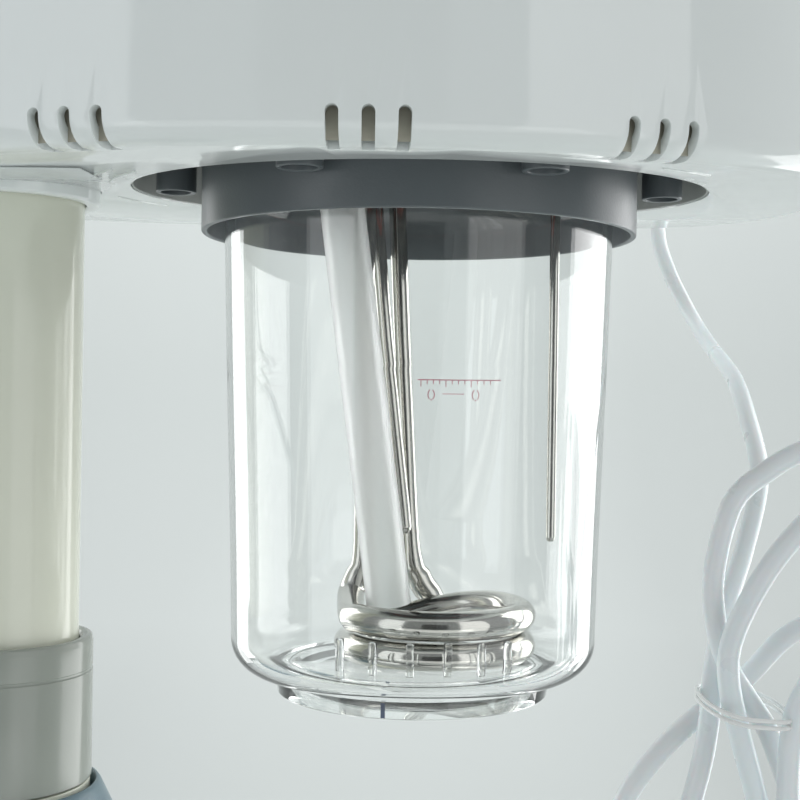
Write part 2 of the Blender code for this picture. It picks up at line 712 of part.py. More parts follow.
def jar():
    """The jar tapers from its neck to a rounded corner and a moulded foot ring."""
    foot = -JAR_DROP
    floor = foot + 6.0
    lip = 11.0
    outside = corner_arc(JAR_CORNER, 4, floor)
    inside = corner_arc(JAR_CORNER - JAR_WALL, 4, floor)[::-1]
    profile = [(JAR_TOP_R - 0.6, lip), (JAR_TOP_R, lip - 0.8), (JAR_TOP_R, -10), *outside]
    profile += [(JAR_FOOT_R + 0.4, floor), (JAR_FOOT_R, foot), (JAR_FOOT_R - 3, foot)]
    profile += [(JAR_FOOT_R - 3.4, floor), (0, floor), (0, floor + 3.0), (JAR_FOOT_R - 3, floor + 3.0)]
    profile += [*inside[1:], (JAR_TOP_R - JAR_WALL, -10), (JAR_TOP_R - JAR_WALL, lip)]
    turned("jar", profile, "clear_jar", (JAR_X, 0, UNDERSIDE_Z), 36)


def pole_socket():
    """The bearing that hangs the head on the pole: a closed cup with a flange inside the shell."""
    outer, inner = POLE_R + 4.6, POLE_R + GAP
    profile = [
        (0, 51), (29, 51), (29, 9.5), (33.5, 9.5), (33.5, 6.2), (outer, 6.2), (outer, -3.0),
        (outer - 1.6, -4.6),
        (inner, -4.6), (inner, 46), (0, 46),
    ]
    turned("pole_socket", profile, "white_shell", (POLE_X, 0, UNDERSIDE_Z), 28, closed=False)


# ---------------------------------------------------------------- steam path and electrics
def steam_path():
    """A soft duct from the lid's steam outlet up to the turret."""
    x, y, foot = feed_place("steam", LID[1])
    low = foot + 26
    upright = [(x, y, foot + 0.4), (x, y, low), (x, 0, low + 22), (x, 0, HEAD_TOP_Z - 6)]
    longer = [(x, y, foot - 5), (x, y, low), (x, 0, low + 22), (x, 0, HEAD_TOP_Z)]
    duct = frozen(tube("steam_duct", upright, 11, "silicone", 2))
    cut(duct, tube("duct_bore", longer, 8.6, "silicone", 2))


def electrics():
    z = UNDERSIDE_Z + 46
    block("terminal_block", (46, 18, 14), "button_white", (JAR_X + 70, 84, z))
    block("power_supply", (62, 36, 22), "panel_grey", (JAR_X - 20, 88, z + 4), bevel=2)
    lamp = (JAR_X + 62, -46, UNDERSIDE_Z + 62)
    rod("ozone_lamp", 7.5, -30, 30, "lamp_glass", lamp, along((1, 0, 0)), sides=12)
    block("lamp_holder", (14, 20, 30), "button_white", (JAR_X + 24, -46, UNDERSIDE_Z + 54))
    cutout = [(0, 13), (7.5, 13), (7.5, 4), (10, 4), (10, 0), (0, 0)]
    spot = (JAR_X + 24, -22, UNDERSIDE_Z + LID[1] + GAP)
    turned("thermal_cutout", cutout, "steel", spot, 12, closed=False)


# ---------------------------------------------------------------- steam arm
def arm():
    x, y, z = ARM_PIVOT
    top = HEAD_TOP_Z + GAP
    across = along((1, 0, 0))
    profile = [
        (0, top + 17), (20, top + 17), (27, top + 13), (31, top + 5), (32, top + 0.4),
        (19, top + 0.4), (19, top - 5.4), (0, top - 5.4),
    ]
    turret = turned("arm_turret", profile, "white_shell", (x, y, 0), 28, closed=False)
    for side in (-20.5, 20.5):
        ear = rod("ear", 17, -3.5, 3.5, at=(x + side, y, z), turn=across, sides=20)
        join(turret, ear, block("ear_foot", (6.6, 30, 20), at=(x + side, y, z - 12)))
    pin_hole = rod("pin_hole", 4.4, -40, 40, at=ARM_PIVOT, turn=across, sides=12)
    cut(turret, pin_hole, rod("steam_hole", 8.6, top - 20, top + 40, at=(x, y, 0), sides=16))
    pin = [(0, 29), (7, 29), (7, 25), (4, 24.3), (4, -24.3), (7, -25), (7, -29), (0, -29)]
    turned("arm_pin", pin, "steel", ARM_PIVOT, 12, closed=False, turn=across)
    profile = [
        (0, ARM_LENGTH), (11, ARM_LENGTH), (11, ARM_LENGTH - 14), (13.5, ARM_LENGTH - 14.5),
        (15, ARM_LENGTH - 60), (15.5, 28), (15.5, 0), (0, 0),
    ]
    lean = along(ARM_DIRECTION)
    body = turned("steam_arm", profile, "white_shell", ARM_PIVOT, 20, closed=False, turn=lean)
    join(body, rod("knuckle", 15.5, -16.6, 16.6, at=ARM_PIVOT, turn=across, sides=20))
    bore = rod("arm_bore", 8.0, 8, ARM_LENGTH + 10, at=ARM_PIVOT, turn=lean, sides=14)
    cut(body, bore, rod("knuckle_bore", 4.4, -30, 30, at=ARM_PIVOT, turn=across, sides=12))
    nozzle(lean)


def nozzle(lean):
    """The outlet turns on the arm's end and bends forward to the level."""
    root = Vector(ARM_PIVOT) + ARM_DIRECTION * (ARM_LENGTH - 13.2)
    outlet = Vector((0, -1, -0.12)).normalized()
    level = along(outlet)
    knee = root + ARM_DIRECTION * 26
    body = rod("steam_nozzle", 16, 0, 27, at=root, turn=lean, sides=20)
    ball = bmesh.new()
    bmesh.ops.create_uvsphere(ball, u_segments=14, v_segments=8, radius=17.5)
    knob = placed("nozzle_knee", mesh_from(ball, "nozzle_knee"), "white_shell", knee)
    flare = [(0, 36), (24, 36), (25, 34), (24, 26), (17, 8), (15, 0), (0, 0)]
    spout = turned("nozzle_spout", flare, "white_shell", knee, 20, closed=False, turn=level)
    join(body, knob, spout)
    cut(
        body,
        rod("nozzle_bore_a", 11.6, -2, 14.5, at=root, turn=lean, sides=20),
        rod("nozzle_bore_b", 8, 10, 28, at=root, turn=lean, sides=14),
        rod("nozzle_bore_c", 9, -4, 40, at=knee, turn=level, sides=14),
        rod("nozzle_mouth", 12, 14, 50, at=knee, turn=level, sides=20, top_radius=23),
    )
    grille = turned("nozzle_grille", ring(16.4, 14.0, 30.5, 33.5), "slate_nut", knee, 20, turn=level)
    for number in range(3):
        spin = level @ about_z(math.pi * number / 3)
        join(grille, block("bar", (30.6, 2.0, 2.0), at=knee + outlet * 32, turn=spin))


# ---------------------------------------------------------------- mains cord
def hank_outline(theta, grow):
    """Loops above the tie lean to the right; those below it hang straight."""
    s, c = math.sin(theta), math.cos(theta)
    up = (HANK_HEIGHT + grow) * s
    side = math.copysign(min(1, 3 * abs(c)), c) * grow
    if s > 0:
        return c * (HANK_PINCH + HANK_TOP_WIDTH * s * s) + side + HANK_LEAN * up, up
    width = HANK_PINCH + HANK_BOTTOM_WIDTH * smooth(-s / 0.45)
    return math.copysign(abs(c) ** 0.7, c) * width + side, up


def hank(thickness):
    curve = bpy.data.curves.new("cord_hank", "CURVE")
    curve.dimensions = "2D"
    curve.fill_mode = "BOTH"
    curve.extrude = thickness / 2 * MM
    spline = curve.splines.new("POLY")
    count = 40
    spline.points.add(count - 1)
    spline.use_cyclic_u = True
    for number, target in enumerate(spline.points):
        across, up = hank_outline(2 * math.pi * number / count, CORD_R + 0.4)
        target.co = (across * MM, up * MM, 0, 1)
    placed("cord_hank", curve, "cord_white", HANK_TIE, Matrix.Rotation(math.pi / 2, 3, "X"))


def even_points(route, spacing):
    """Evenly spaced points on a smooth curve through the points of a route."""
    ends = [route[0] * 2 - route[1], *route, route[-1] * 2 - route[-2]]
    fine = []
    for a, b, c, d in zip(ends, ends[1:], ends[2:], ends[3:]):
        for t in [step / 24 for step in range(24)]:
            bent = (2 * a - 5 * b + 4 * c - d) * t * t + (3 * b - a - 3 * c + d) * t * t * t
            fine.append(0.5 * (2 * b + (c - a) * t + bent))
    fine.append(route[-1])
    walked = [0.0]
    for first, second in zip(fine, fine[1:]):
        walked.append(walked[-1] + (second - first).length)
    count = round(walked[-1] / spacing)
    found, index = [], 0
    for number in range(count):
        wanted = walked[-1] * number / count
        while walked[index + 1] < wanted:
            index += 1
        share = (wanted - walked[index]) / (walked[index + 1] - walked[index])
        found.append(fine[index].lerp(fine[index + 1], share))
    return [*found, fine[-1]]


def cord():
    thickness = HANK_TURNS * HANK_PITCH + 2 * CORD_R
    hank(thickness)
    relief = [(0, 34), (5.0, 34), (5.6, 30), (7.0, 4), (10, 3.4), (10, 0.8), (6.8, 0), (6.8, -12), (0, -12)]
    turned("strain_relief", relief, "cord_white", GLAND, 16, closed=False, turn=along(CORD_OUT))
    start = GLAND + CORD_OUT * 34.3
    tie = HANK_TIE
    route = [
        start, start + CORD_OUT * 12, tie + Vector((9, 186, 164)), tie + Vector((15, 185, 142)),
        tie + Vector((21, 164, 122)), tie + Vector((23, 128, 105)), tie + Vector((21, 84, 89)),
        tie + Vector((17, 52, 70)), tie + Vector((7, 33, 48)),
        tie + Vector((-2, thickness / 2 + CORD_R + GAP, 26)),
    ]
    tube("power_cord", even_points(route, 13), CORD_R, "cord_white", 2)
    plug(tie)


def plug(tie):
    """The cord's tail leaves the hank at its foot and ends in a two-pin plug."""
    head = tie + Vector((4, -8, -PLUG_DROP))
    route = [tie + Vector((6.5, -12, 5 - HANK_HEIGHT - 14)), tie + Vector((4.8, -9.4, 18 - PLUG_DROP)), head]
    tube("cord_tail", even_points(route, 12), CORD_R, "cord_white", 2)
    profile = [(0, -GAP), (4.4, -GAP), (5.4, -14), (12, -22), (17.5, -30), (18.5, -50), (0, -50)]
    body = turned("mains_plug", profile, "cord_white", head, 20, closed=False)
    for side in (-9.5, 9.5):
        join(body, rod("pin", 2.4, -69, -49, at=head + Vector((side, 0, 0)), sides=10))


def main():
    star_base()
    for number in range(1, LEG_COUNT + 1):
        caster(number)
    pole()
    lower_shell()
    recess_liner()
    upper_shell()
    controls()
    jar_collar()
    collar_screws()
    boiler_lid()
    splash_tube()
    heater()
    sensors()
    jar()
    pole_socket()
    steam_path()
    electrics()
    arm()
    cord()


main()
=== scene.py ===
"""A salon facial steamer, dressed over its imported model.

Lengths are millimetres until a helper turns them into metres.  Places are written from the
jar's axis (x, y) and the head's underside (z) wherever the piece belongs to the head.
"""

import json
import math

import bmesh
import bpy
from mathutils import Matrix, Vector


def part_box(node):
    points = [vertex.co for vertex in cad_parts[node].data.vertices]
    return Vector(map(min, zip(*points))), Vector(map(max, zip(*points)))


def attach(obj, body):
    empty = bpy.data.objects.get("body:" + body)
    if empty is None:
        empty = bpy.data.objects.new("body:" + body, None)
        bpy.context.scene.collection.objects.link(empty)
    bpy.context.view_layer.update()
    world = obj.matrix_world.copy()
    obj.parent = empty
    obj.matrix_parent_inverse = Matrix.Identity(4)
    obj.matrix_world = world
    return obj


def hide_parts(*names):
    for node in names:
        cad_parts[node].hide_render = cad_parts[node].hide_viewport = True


MM = 0.001
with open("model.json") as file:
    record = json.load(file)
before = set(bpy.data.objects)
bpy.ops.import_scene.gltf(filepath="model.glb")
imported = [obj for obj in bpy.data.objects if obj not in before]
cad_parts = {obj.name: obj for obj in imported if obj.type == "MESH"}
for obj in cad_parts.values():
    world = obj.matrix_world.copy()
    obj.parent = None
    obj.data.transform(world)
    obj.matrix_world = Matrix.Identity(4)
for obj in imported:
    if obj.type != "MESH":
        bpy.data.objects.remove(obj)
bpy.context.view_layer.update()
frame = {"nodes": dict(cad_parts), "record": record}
scene = bpy.context.scene


def node_box(name):
    low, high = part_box(name)
    return Vector(low) / MM, Vector(high) / MM


# ---------------------------------------------------------------- places taken from the frame
jar_low, jar_high = node_box("jar")
JAR_X = (jar_low.x + jar_high.x) / 2
COLLAR_DROP = 13.0  # how far the collar hangs below the head's underside
UNDER = node_box("jar_collar")[0].z + COLLAR_DROP
AXIS = (JAR_X, 0, UNDER)
POLE_X = sum(v.x for v in node_box("inner_pole")) / 2
head_low, head_high = node_box("head_lower_shell")
HEAD_X = (head_low.x + head_high.x) / 2
HEAD_Y = (head_low.y + head_high.y) / 2
PARTING = head_high.z
HEAD_TOP = node_box("head_upper_shell")[1].z
TOP_FACE = PARTING + 84  # what stands on the head is placed from here
SLOPE = math.tan(math.radians(3))
EYE = Vector((JAR_X - 4.8, -400, UNDER - 61.6))
LEG_ROOT = 24.0
LEG_REACH = 250.0
LEGS = 5


# ---------------------------------------------------------------- camera
def linked(name, data):
    obj = bpy.data.objects.new(name, data)
    scene.collection.objects.link(obj)
    return obj


def camera():
    data = bpy.data.cameras.new("camera")
    data.lens = 59.85
    data.sensor_width = 36
    data.clip_start = 0.02
    obj = linked("camera", data)
    look = Matrix.Rotation(math.pi / 2, 4, "X") @ Matrix.Rotation(math.radians(0.85), 4, "Z")
    obj.matrix_world = Matrix.Translation(EYE * MM) @ look
    scene.camera = obj


camera()


# ---------------------------------------------------------------- materials
def nodes_of(name):
    made = bpy.data.materials.new(name)
    made.use_nodes = True
    tree = made.node_tree
    return made, tree, tree.nodes["Principled BSDF"]


def put(tree, node, **inputs):
    """Sets a node's inputs, and links those that are given another node's output."""
    for name, value in inputs.items():
        socket = node.inputs[name.replace("_", " ")]
        if isinstance(value, bpy.types.NodeSocket):
            tree.links.new(value, socket)
        else:
            socket.default_value = value
    return node


def add(tree, kind, **inputs):
    return put(tree, tree.nodes.new(kind), **inputs)


def noise(tree, scale, detail, stretch=(1, 1, 1)):
    """Noise in the object's own space, in features per metre."""
    place = add(tree, "ShaderNodeTexCoord").outputs["Object"]
    place = add(tree, "ShaderNodeMapping", Vector=place, Scale=stretch).outputs["Vector"]
    return add(tree, "ShaderNodeTexNoise", Vector=place, Scale=scale, Detail=detail).outputs["Fac"]


def spread(tree, value, low, high, start=0.3, stop=0.7):
    ranged = add(tree, "ShaderNodeMapRange", Value=value, From_Min=start, From_Max=stop, To_Min=low, To_Max=high)
    return ranged.outputs["Result"]


def blended(tree, value, first, second):
    mix = tree.nodes.new("ShaderNodeMix")
    mix.data_type = "RGBA"
    return put(tree, mix, A=(*first, 1), B=(*second, 1), Factor=value).outputs["Result"]


def bumped(tree, shader, height, strength, distance):
    bump = add(tree, "ShaderNodeBump", Strength=strength, Distance=distance, Height=height)
    put(tree, shader, Normal=bump.outputs["Normal"])


def surface(name, colour, rough, mottle, grain, bump, metal=0.0, **sockets):
    """A moulded or metal surface: cloudy colour, uneven gloss and a fine grain."""
    made, tree, shader = nodes_of(name)
    darker = tuple(c * (1 - mottle) for c in colour)
    lighter = tuple(min(1.0, c * (1 + mottle)) for c in colour)
    cloud = spread(tree, noise(tree, 22, 4), 0.0, 1.0)
    gloss = spread(tree, noise(tree, 60, 5), *rough)
    colours = blended(tree, cloud, darker, lighter)
    put(tree, shader, Base_Color=colours, Roughness=gloss, Metallic=metal, **sockets)
    bumped(tree, shader, noise(tree, grain, 2), bump, 0.0004)
    return made


def clear(name, colour, rough):
    """Clear moulded plastic: faint flow marks in its gloss and relief."""
    made, tree, shader = nodes_of(name)
    gloss = spread(tree, noise(tree, 25, 4), *rough)
    put(tree, shader, Base_Color=(*colour, 1), IOR=1.49, Transmission_Weight=1.0, Roughness=gloss)
    bumped(tree, shader, noise(tree, 9, 1, (1, 1, 0.15)), 0.04, 0.001)
    return made


M = {
    "white_shell": surface("shell_white", (0.77, 0.81, 0.80), (0.05, 0.10), 0.012, 260, 0.02, IOR=1.6),
    "base_white": surface("base_white", (0.70, 0.73, 0.71), (0.20, 0.25), 0.01, 300, 0.02),
    # painted shade: this grey stands for the white recess wall in shade
    "recess_shade_grey": surface("recess_shade_grey", (0.34, 0.36, 0.34), (0.35, 0.5), 0.05, 900, 0.08),
    "cream_pole": surface("pole_cream", (0.73, 0.75, 0.64), (0.08, 0.14), 0.02, 300, 0.03),
    "grey_sleeve": surface("sleeve_grey", (0.305, 0.33, 0.295), (0.14, 0.24), 0.03, 700, 0.05),
    "slate_nut": surface("nut_slate", (0.13, 0.20, 0.235), (0.3, 0.42), 0.05, 1600, 0.15),
    "dark_collar": surface("collar_dark", (0.105, 0.122, 0.130), (0.28, 0.42), 0.10, 1300, 0.12),
    "steel": surface("steel", (0.58, 0.57, 0.535), (0.07, 0.18), 0.08, 600, 0.04, 1.0),
    "silicone": surface("silicone", (0.985, 1.0, 0.99), (0.35, 0.45), 0.01, 500, 0.04,
                        IOR=1.42, Transmission_Weight=0.9),
    "red_seal": surface("seal_red", (0.42, 0.10, 0.07), (0.5, 0.65), 0.08, 900, 0.10),
    "cord_white": surface("cord_white", (0.67, 0.745, 0.77), (0.26, 0.36), 0.02, 900, 0.06, Subsurface_Weight=0.1),
    "brass": surface("brass", (0.72, 0.52, 0.24), (0.2, 0.35), 0.10, 700, 0.08, 1.0),
    "circuit_green": surface("board_green", (0.03, 0.20, 0.09), (0.3, 0.5), 0.25, 500, 0.2),
    "black_rubber": surface("rubber_black", (0.028, 0.029, 0.03), (0.5, 0.7), 0.2, 1500, 0.25),
    "wheel_grey": surface("wheel_grey", (0.30, 0.315, 0.32), (0.35, 0.5), 0.06, 1500, 0.12),
    "screen_grey": surface("screen_grey", (0.42, 0.40, 0.33), (0.5, 0.6), 0.06, 900, 0.1),
    "panel_grey": surface("panel_grey", (0.19, 0.21, 0.22), (0.25, 0.38), 0.04, 1800, 0.15),
    "button_white": surface("button_white", (0.78, 0.79, 0.78), (0.2, 0.3), 0.02, 1200, 0.06),
    "print_red": surface("print_red", (0.62, 0.22, 0.28), (0.4, 0.5), 0.05, 900, 0.02),
    "mark_blue": surface("mark_blue", (0.10, 0.13, 0.19), (0.4, 0.5), 0.05, 900, 0.02),
    "label": surface("label", (0.62, 0.66, 0.66), (0.3, 0.4), 0.02, 800, 0.02),
    "clear_jar": clear("jar_clear", (0.985, 0.995, 0.99), (0.0, 0.02)),
    "lamp_glass": clear("lamp_clear", (0.9, 0.93, 1.0), (0.0, 0.05)),
}


# ---------------------------------------------------------------- mesh helpers
def new_mesh(name, bm, sharp=60):
    bmesh.ops.recalc_face_normals(bm, faces=bm.faces)
    data = bpy.data.meshes.new(name)
    bm.to_mesh(data)
    bm.free()
    data.shade_smooth()
    data.set_sharp_from_angle(angle=math.radians(sharp))
    return data


TO_METRES = Matrix.Diagonal((MM, MM, MM, 1))


def placing(at=(0, 0, 0), turn=None):
    return Matrix.Translation(Vector(at)) @ (turn or Matrix.Identity(3)).to_4x4()


def moved(bm, matrix):
    bmesh.ops.transform(bm, matrix=matrix, verts=bm.verts)
    return bm


def piece(name, bm, body, look, at=(0, 0, 0), turn=None, replaces=(), sharp=38):
    """A mesh in millimetres becomes a piece on a body, with its material; the parts it replaces are hidden."""
    moved(bm, TO_METRES @ placing(at, turn))
    return settle(linked(name, new_mesh(name, bm, sharp)), body, look, replaces)


def settle(obj, body, look, replaces=()):
    obj.data.materials.append(M[look])
    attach(obj, body)
    if replaces:
        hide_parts(*replaces)
    return obj


def merged(bm, other, at=(0, 0, 0), turn=None):
    """Adds one mesh to another, moved into place."""
    moved(other, placing(at, turn))
    data = bpy.data.meshes.new("part")
    other.to_mesh(data)
    other.free()
    bm.from_mesh(data)
    bpy.data.meshes.remove(data)


def soften(profile, radius, steps=3, closed=True):
    """Rounds a profile's corners; a third number on a point overrides the radius there."""
    found = []
    count = len(profile)
    for index, point in enumerate(profile):
        wanted = point[2] if len(point) > 2 else radius
        here = Vector(point[:2])
        if wanted <= 0 or (not closed and index in (0, count - 1)):
            found.append(here)
            continue
        back = Vector(profile[index - 1][:2]) - here
        ahead = Vector(profile[(index + 1) % count][:2]) - here
        spare = min(back.length, ahead.length) * 0.48
        back.normalize()
        ahead.normalize()
        half = back.angle(ahead) / 2
        if half > math.radians(85):
            found.append(here)
            continue
        run = min(wanted / math.tan(half), spare)
        centre = here + (back + ahead).normalized() * (run / math.cos(half))
        reach = run * math.tan(half)
        for step in range(steps + 1):
            spoke = (here + back * run).lerp(here + ahead * run, step / steps) - centre
            found.append(centre + spoke.normalized() * reach)
    return found


def lathe(profile, sides=96, closed=True, soft=0.4, steps=3, start=0.0, sweep=2 * math.pi):
    """A profile of (radius, height) points turned round Z."""
    bm = bmesh.new()
    points = soften(profile, soft, steps, closed)
    whole = sweep > 6.28
    rings = []
    for radius, height in points:
        if radius < 1e-6:
            rings.append([bm.verts.new((0, 0, height))])
            continue
        count = sides if whole else sides + 1
        angles = [start + sweep * n / sides for n in range(count)]
        rings.append([bm.verts.new((radius * math.cos(a), radius * math.sin(a), height)) for a in angles])
    pairs = list(zip(rings, rings[1:]))
    if closed:
        pairs.append((rings[-1], rings[0]))
    for first, second in pairs:
        if len(first) == len(second) == 1:
            continue
        for n in range(sides):
            after = (n + 1) % sides if whole else n + 1
            corners = [first[n % len(first)], second[n % len(second)]]
            if len(second) > 1:
                corners.append(second[after])
            if len(first) > 1:
                corners.append(first[after])
            if len(set(corners)) > 2:
                bm.faces.new(corners)
    if not whole:
        bm.faces.new([ring[0] for ring in rings])
        bm.faces.new([ring[-1] for ring in rings])
    return bm


def ring(outer, inner, low, high, sides=96, soft=0.4, steps=3, **arc):
    """A hollow cylinder."""
    return lathe([(outer, high), (outer, low), (inner, low), (inner, high)], sides, True, soft, steps, **arc)


def bridged(bm, first, second):
    for n in range(len(first)):
        after = (n + 1) % len(first)
        bm.faces.new((first[n], first[after], second[after], second[n]))


def loft(rings, caps=True):
    """Closed rings of equal count joined in order."""
    bm = bmesh.new()
    made = [[bm.verts.new(point) for point in points] for points in rings]
    for first, second in zip(made, made[1:]):
        bridged(bm, first, second)
    if caps:
        bm.faces.new(made[0])
        bm.faces.new(made[-1])
    return bm


def evenly(count, shift=0.0):
    """Angles evenly spaced round a circle."""
    return [2 * math.pi * (n + shift) / count for n in range(count)]


def respaced(line, count_for):
    """Evenly spaced points along a finely divided line, without its end; the count comes from its length."""
    walked = [0.0]
    for first, second in zip(line, line[1:]):
        walked.append(walked[-1] + (second - first).length)
    count = count_for(walked[-1])
    found, index = [], 0
    for number in range(count):
        wanted = walked[-1] * number / count
        while walked[index + 1] < wanted:
            index += 1
        share = (wanted - walked[index]) / (walked[index + 1] - walked[index])
        found.append(line[index].lerp(line[index + 1], share))
    return found


def smooth_path(route, spacing):
    """Evenly spaced points on a smooth curve through a route."""
    route = [Vector(p) for p in route]
    ends = [route[0] * 2 - route[1], *route, route[-1] * 2 - route[-2]]
    fine = []
    for a, b, c, d in zip(ends, ends[1:], ends[2:], ends[3:]):
        for t in [step / 20 for step in range(20)]:
            bent = (2 * a - 5 * b + 4 * c - d) * t * t + (3 * b - a - 3 * c + d) * t * t * t
            fine.append(0.5 * (2 * b + (c - a) * t + bent))
    fine.append(route[-1])
    return [*respaced(fine, lambda length: max(2, round(length / spacing))), fine[-1]]


def tube(points, radius, sides):
    """A swept circle with domed ends; radius is a number or a function of the share of the way along."""
    points = [Vector(p) for p in points]
    size = radius if callable(radius) else lambda share: radius
    heading = (points[1] - points[0]).normalized()
    side = heading.orthogonal().normalized()
    rings = []
    last = len(points) - 1
    for index, point in enumerate(points):
        fresh = (points[min(index + 1, last)] - points[max(index - 1, 0)]).normalized()
        side = heading.rotation_difference(fresh) @ side
        heading = fresh
        over = heading.cross(side)
        here = size(index / last)
        spokes = [(math.cos(a), math.sin(a)) for a in evenly(sides)]
        frames = [(point, here)]
        if index in (0, last):
            away = -heading if index == 0 else heading
            frames = [(point + away * here * math.sin(a), here * math.cos(a)) for a in (1.4, 1.0, 0.5, 0.0)]
            frames = frames if index == 0 else frames[::-1]
        rings += [[c + side * (r * u) + over * (r * v) for u, v in spokes] for c, r in frames]
    return loft(rings)


def slab(size, bevel=0.8, segments=3):
    """A box with rounded edges."""
    bm = bmesh.new()
    bmesh.ops.create_cube(bm, size=1)
    bmesh.ops.scale(bm, vec=size, verts=bm.verts)
    bmesh.ops.bevel(
        bm, geom=bm.edges[:], offset=bevel, segments=segments, affect="EDGES", profile=0.5, clamp_overlap=True
    )
    return bm


def capsule_prism(width, height, depth, steps=8):
    """A slot-shaped cutter: round top and bottom in the YZ plane, depth along X."""
    r = width / 2
    ring = []
    for end, sign in ((height / 2 - r, 1), (-height / 2 + r, -1)):
        for n in range(steps + 1):
            a = math.pi * n / steps
            ring.append((sign * r * math.cos(a), end + sign * r * math.sin(a)))
    return loft([[(x, y, z) for y, z in ring] for x in (-depth / 2, depth / 2)])


def temp(bm):
    bmesh.ops.recalc_face_normals(bm, faces=bm.faces)
    data = bpy.data.meshes.new("tool")
    moved(bm, TO_METRES).to_mesh(data)
    bm.free()
    return linked("tool", data)


def carved(bm, tools, bevel=0.0, at=(0, 0, 0)):
    """The mesh, in millimetres, after exact Boolean cuts, with its cut edges slightly rounded."""
    body = temp(bm)
    kept = []
    for number, tool in enumerate(tools):
        bmesh.ops.translate(tool, vec=at, verts=tool.verts)
        cutter = temp(tool)
        kept.append(cutter)
        modifier = body.modifiers.new(f"cut_{number}", "BOOLEAN")
        modifier.operation = "DIFFERENCE"
        modifier.solver = "EXACT"
        modifier.object = cutter
    if bevel:
        edge = body.modifiers.new("edge", "BEVEL")
        edge.width = bevel * MM
        edge.segments = 2
        edge.limit_method = "ANGLE"
        edge.angle_limit = math.radians(38)
        edge.use_clamp_overlap = True
    bpy.context.view_layer.update()
    graph = bpy.context.evaluated_depsgraph_get()
    data = bpy.data.meshes.new_from_object(body.evaluated_get(graph), depsgraph=graph)
    fresh = bmesh.new()
    fresh.from_mesh(data)
    moved(fresh, Matrix.Diagonal((1 / MM, 1 / MM, 1 / MM, 1)))
    for obj in (body, *kept):
        bpy.data.objects.remove(obj, do_unlink=True)
    bpy.data.meshes.remove(data)
    return fresh


def along(direction):
    return Vector(direction).to_track_quat("Z", "Y").to_matrix()


def about_z(angle):
    return Matrix.Rotation(angle, 3, "Z")


def polar(radius, angle, x=0.0, y=0.0, z=0.0):
    return Vector((x + radius * math.cos(angle), y + radius * math.sin(angle), z))


def at_jar(x, y, z):
    """A place from the jar's axis and the head's underside."""
    return Vector((JAR_X + x, y, UNDER + z))


def smoothstep(share):
    share = min(1.0, max(0.0, share))
    return share * share * (3 - 2 * share)


def bars(bm, angles, radius, height, size, bevel, segments=2):
    """Rounded bars round Z, each turned to its own angle."""
    for a in angles:
        merged(bm, slab(size, bevel, segments), polar(radius, a, z=height), about_z(a))


# ---------------------------------------------------------------- mains cord
TIE = at_jar(99, -6, -155)
CORD_R = 3.2
GLAND = at_jar(84, 122.7, 22)
OUT = Vector((0.385, 0.923, 0)).normalized()
PLUG_TOP = TIE + Vector((4, -8, -132))


def cord():
    """The lead from the gland, two turns of the hank through its tie, and the tail to the plug."""
    start = GLAND + OUT * 34.3
    bend = [start + OUT * 30 * math.sin(a) - Vector((0, 0, 30 - 30 * math.cos(a))) for a in (0.2, 0.5, 0.8, 1.05)]
    hung = [
        # down behind the hank, past the tie on its left, and round the first bottom loop
        (14.5, 190, 149), (20.5, 188, 136.5), (24.5, 177, 125), (26, 160, 116.5), (26, 140, 110),
        (24.4, 115, 102.5), (21, 84, 89.5), (17, 52, 70), (7, 31, 48), (-3.9, 14, 28), (-8.6, 6, 10.7),
        (-9.8, 3.9, 0), (-11.8, 3.9, -13.3), (-15.7, 3.9, -29), (-19.5, 3.9, -46), (-21.8, 3.4, -60),
        (-21.8, 3, -73), (-18.8, 2.6, -84.5), (-10.7, 1.8, -92.6), (0.5, 0.4, -95.6), (11.7, -0.8, -92.6),
        (19.8, -2, -84.5), (22.8, -2.8, -73), (22.6, -3.2, -60), (20, -3.6, -45), (15.4, -3.9, -29),
        (9.5, -3.9, -12), (5, -3.9, -1),
        # the large top loop, over to the right and back across behind everything
        (-1, -3.9, 8), (-6, -3.9, 16), (-10, -3.9, 28), (-11, -3.9, 44), (-5.8, -3.9, 64.6),
        (3.8, -3.9, 73.8), (14, -3.9, 80), (28, -3.4, 84.5), (43, -2, 86), (59, -0.5, 84.5),
        (74.5, 2.2, 77), (81.8, 5.2, 60.5), (75, 8.2, 43.5), (58, 10.4, 35), (38, 11.7, 31),
        (26, 11.7, 28.4), (14.5, 11.7, 22.6),
        (4.2, 11.7, 11.6), (-5.9, 11.7, 2.4), (-13.9, 11.7, -3.6), (-25.2, 11.7, -15.4),
        (-34, 11.7, -29),
        # the second bottom loop, coming forward
        (-36.4, 11.5, -46), (-36, 9.8, -64), (-30.5, 8, -80), (-19.5, 5, -91.5), (-6.5, 2, -95),
        (5, -1, -89.5), (12, -3.6, -78), (13.8, -6, -63), (9.5, -8, -46), (3.2, -10, -29),
        (-1, -11.3, -14), (-4.6, -11.7, -1.5),
        # the small top loop in front, then the tail
        (-8.2, -11.7, 14.8), (-6.6, -11.7, 28), (3.6, -11.7, 47.5), (17, -11.8, 63), (32, -12, 73.5),
        (49, -12.4, 79),
        (66, -12.7, 79), (81.5, -13.2, 71.5), (88.5, -13.8, 55.5), (82, -14.4, 39.5), (66, -14.8, 31),
        (46, -15.2, 27.6), (22, -15.5, 21.5),
        (11.6, -15.5, 10), (8.5, -15.5, -6),
        (8.6, -15.5, -29), (9.5, -15.5, -52), (9, -14.5, -76), (6, -11.5, -100), (4, -8, -122), (4, -8, -133),
    ]
    return smooth_path([start] + bend + [TIE + Vector(p) for p in hung], 4)


cord_points = cord()


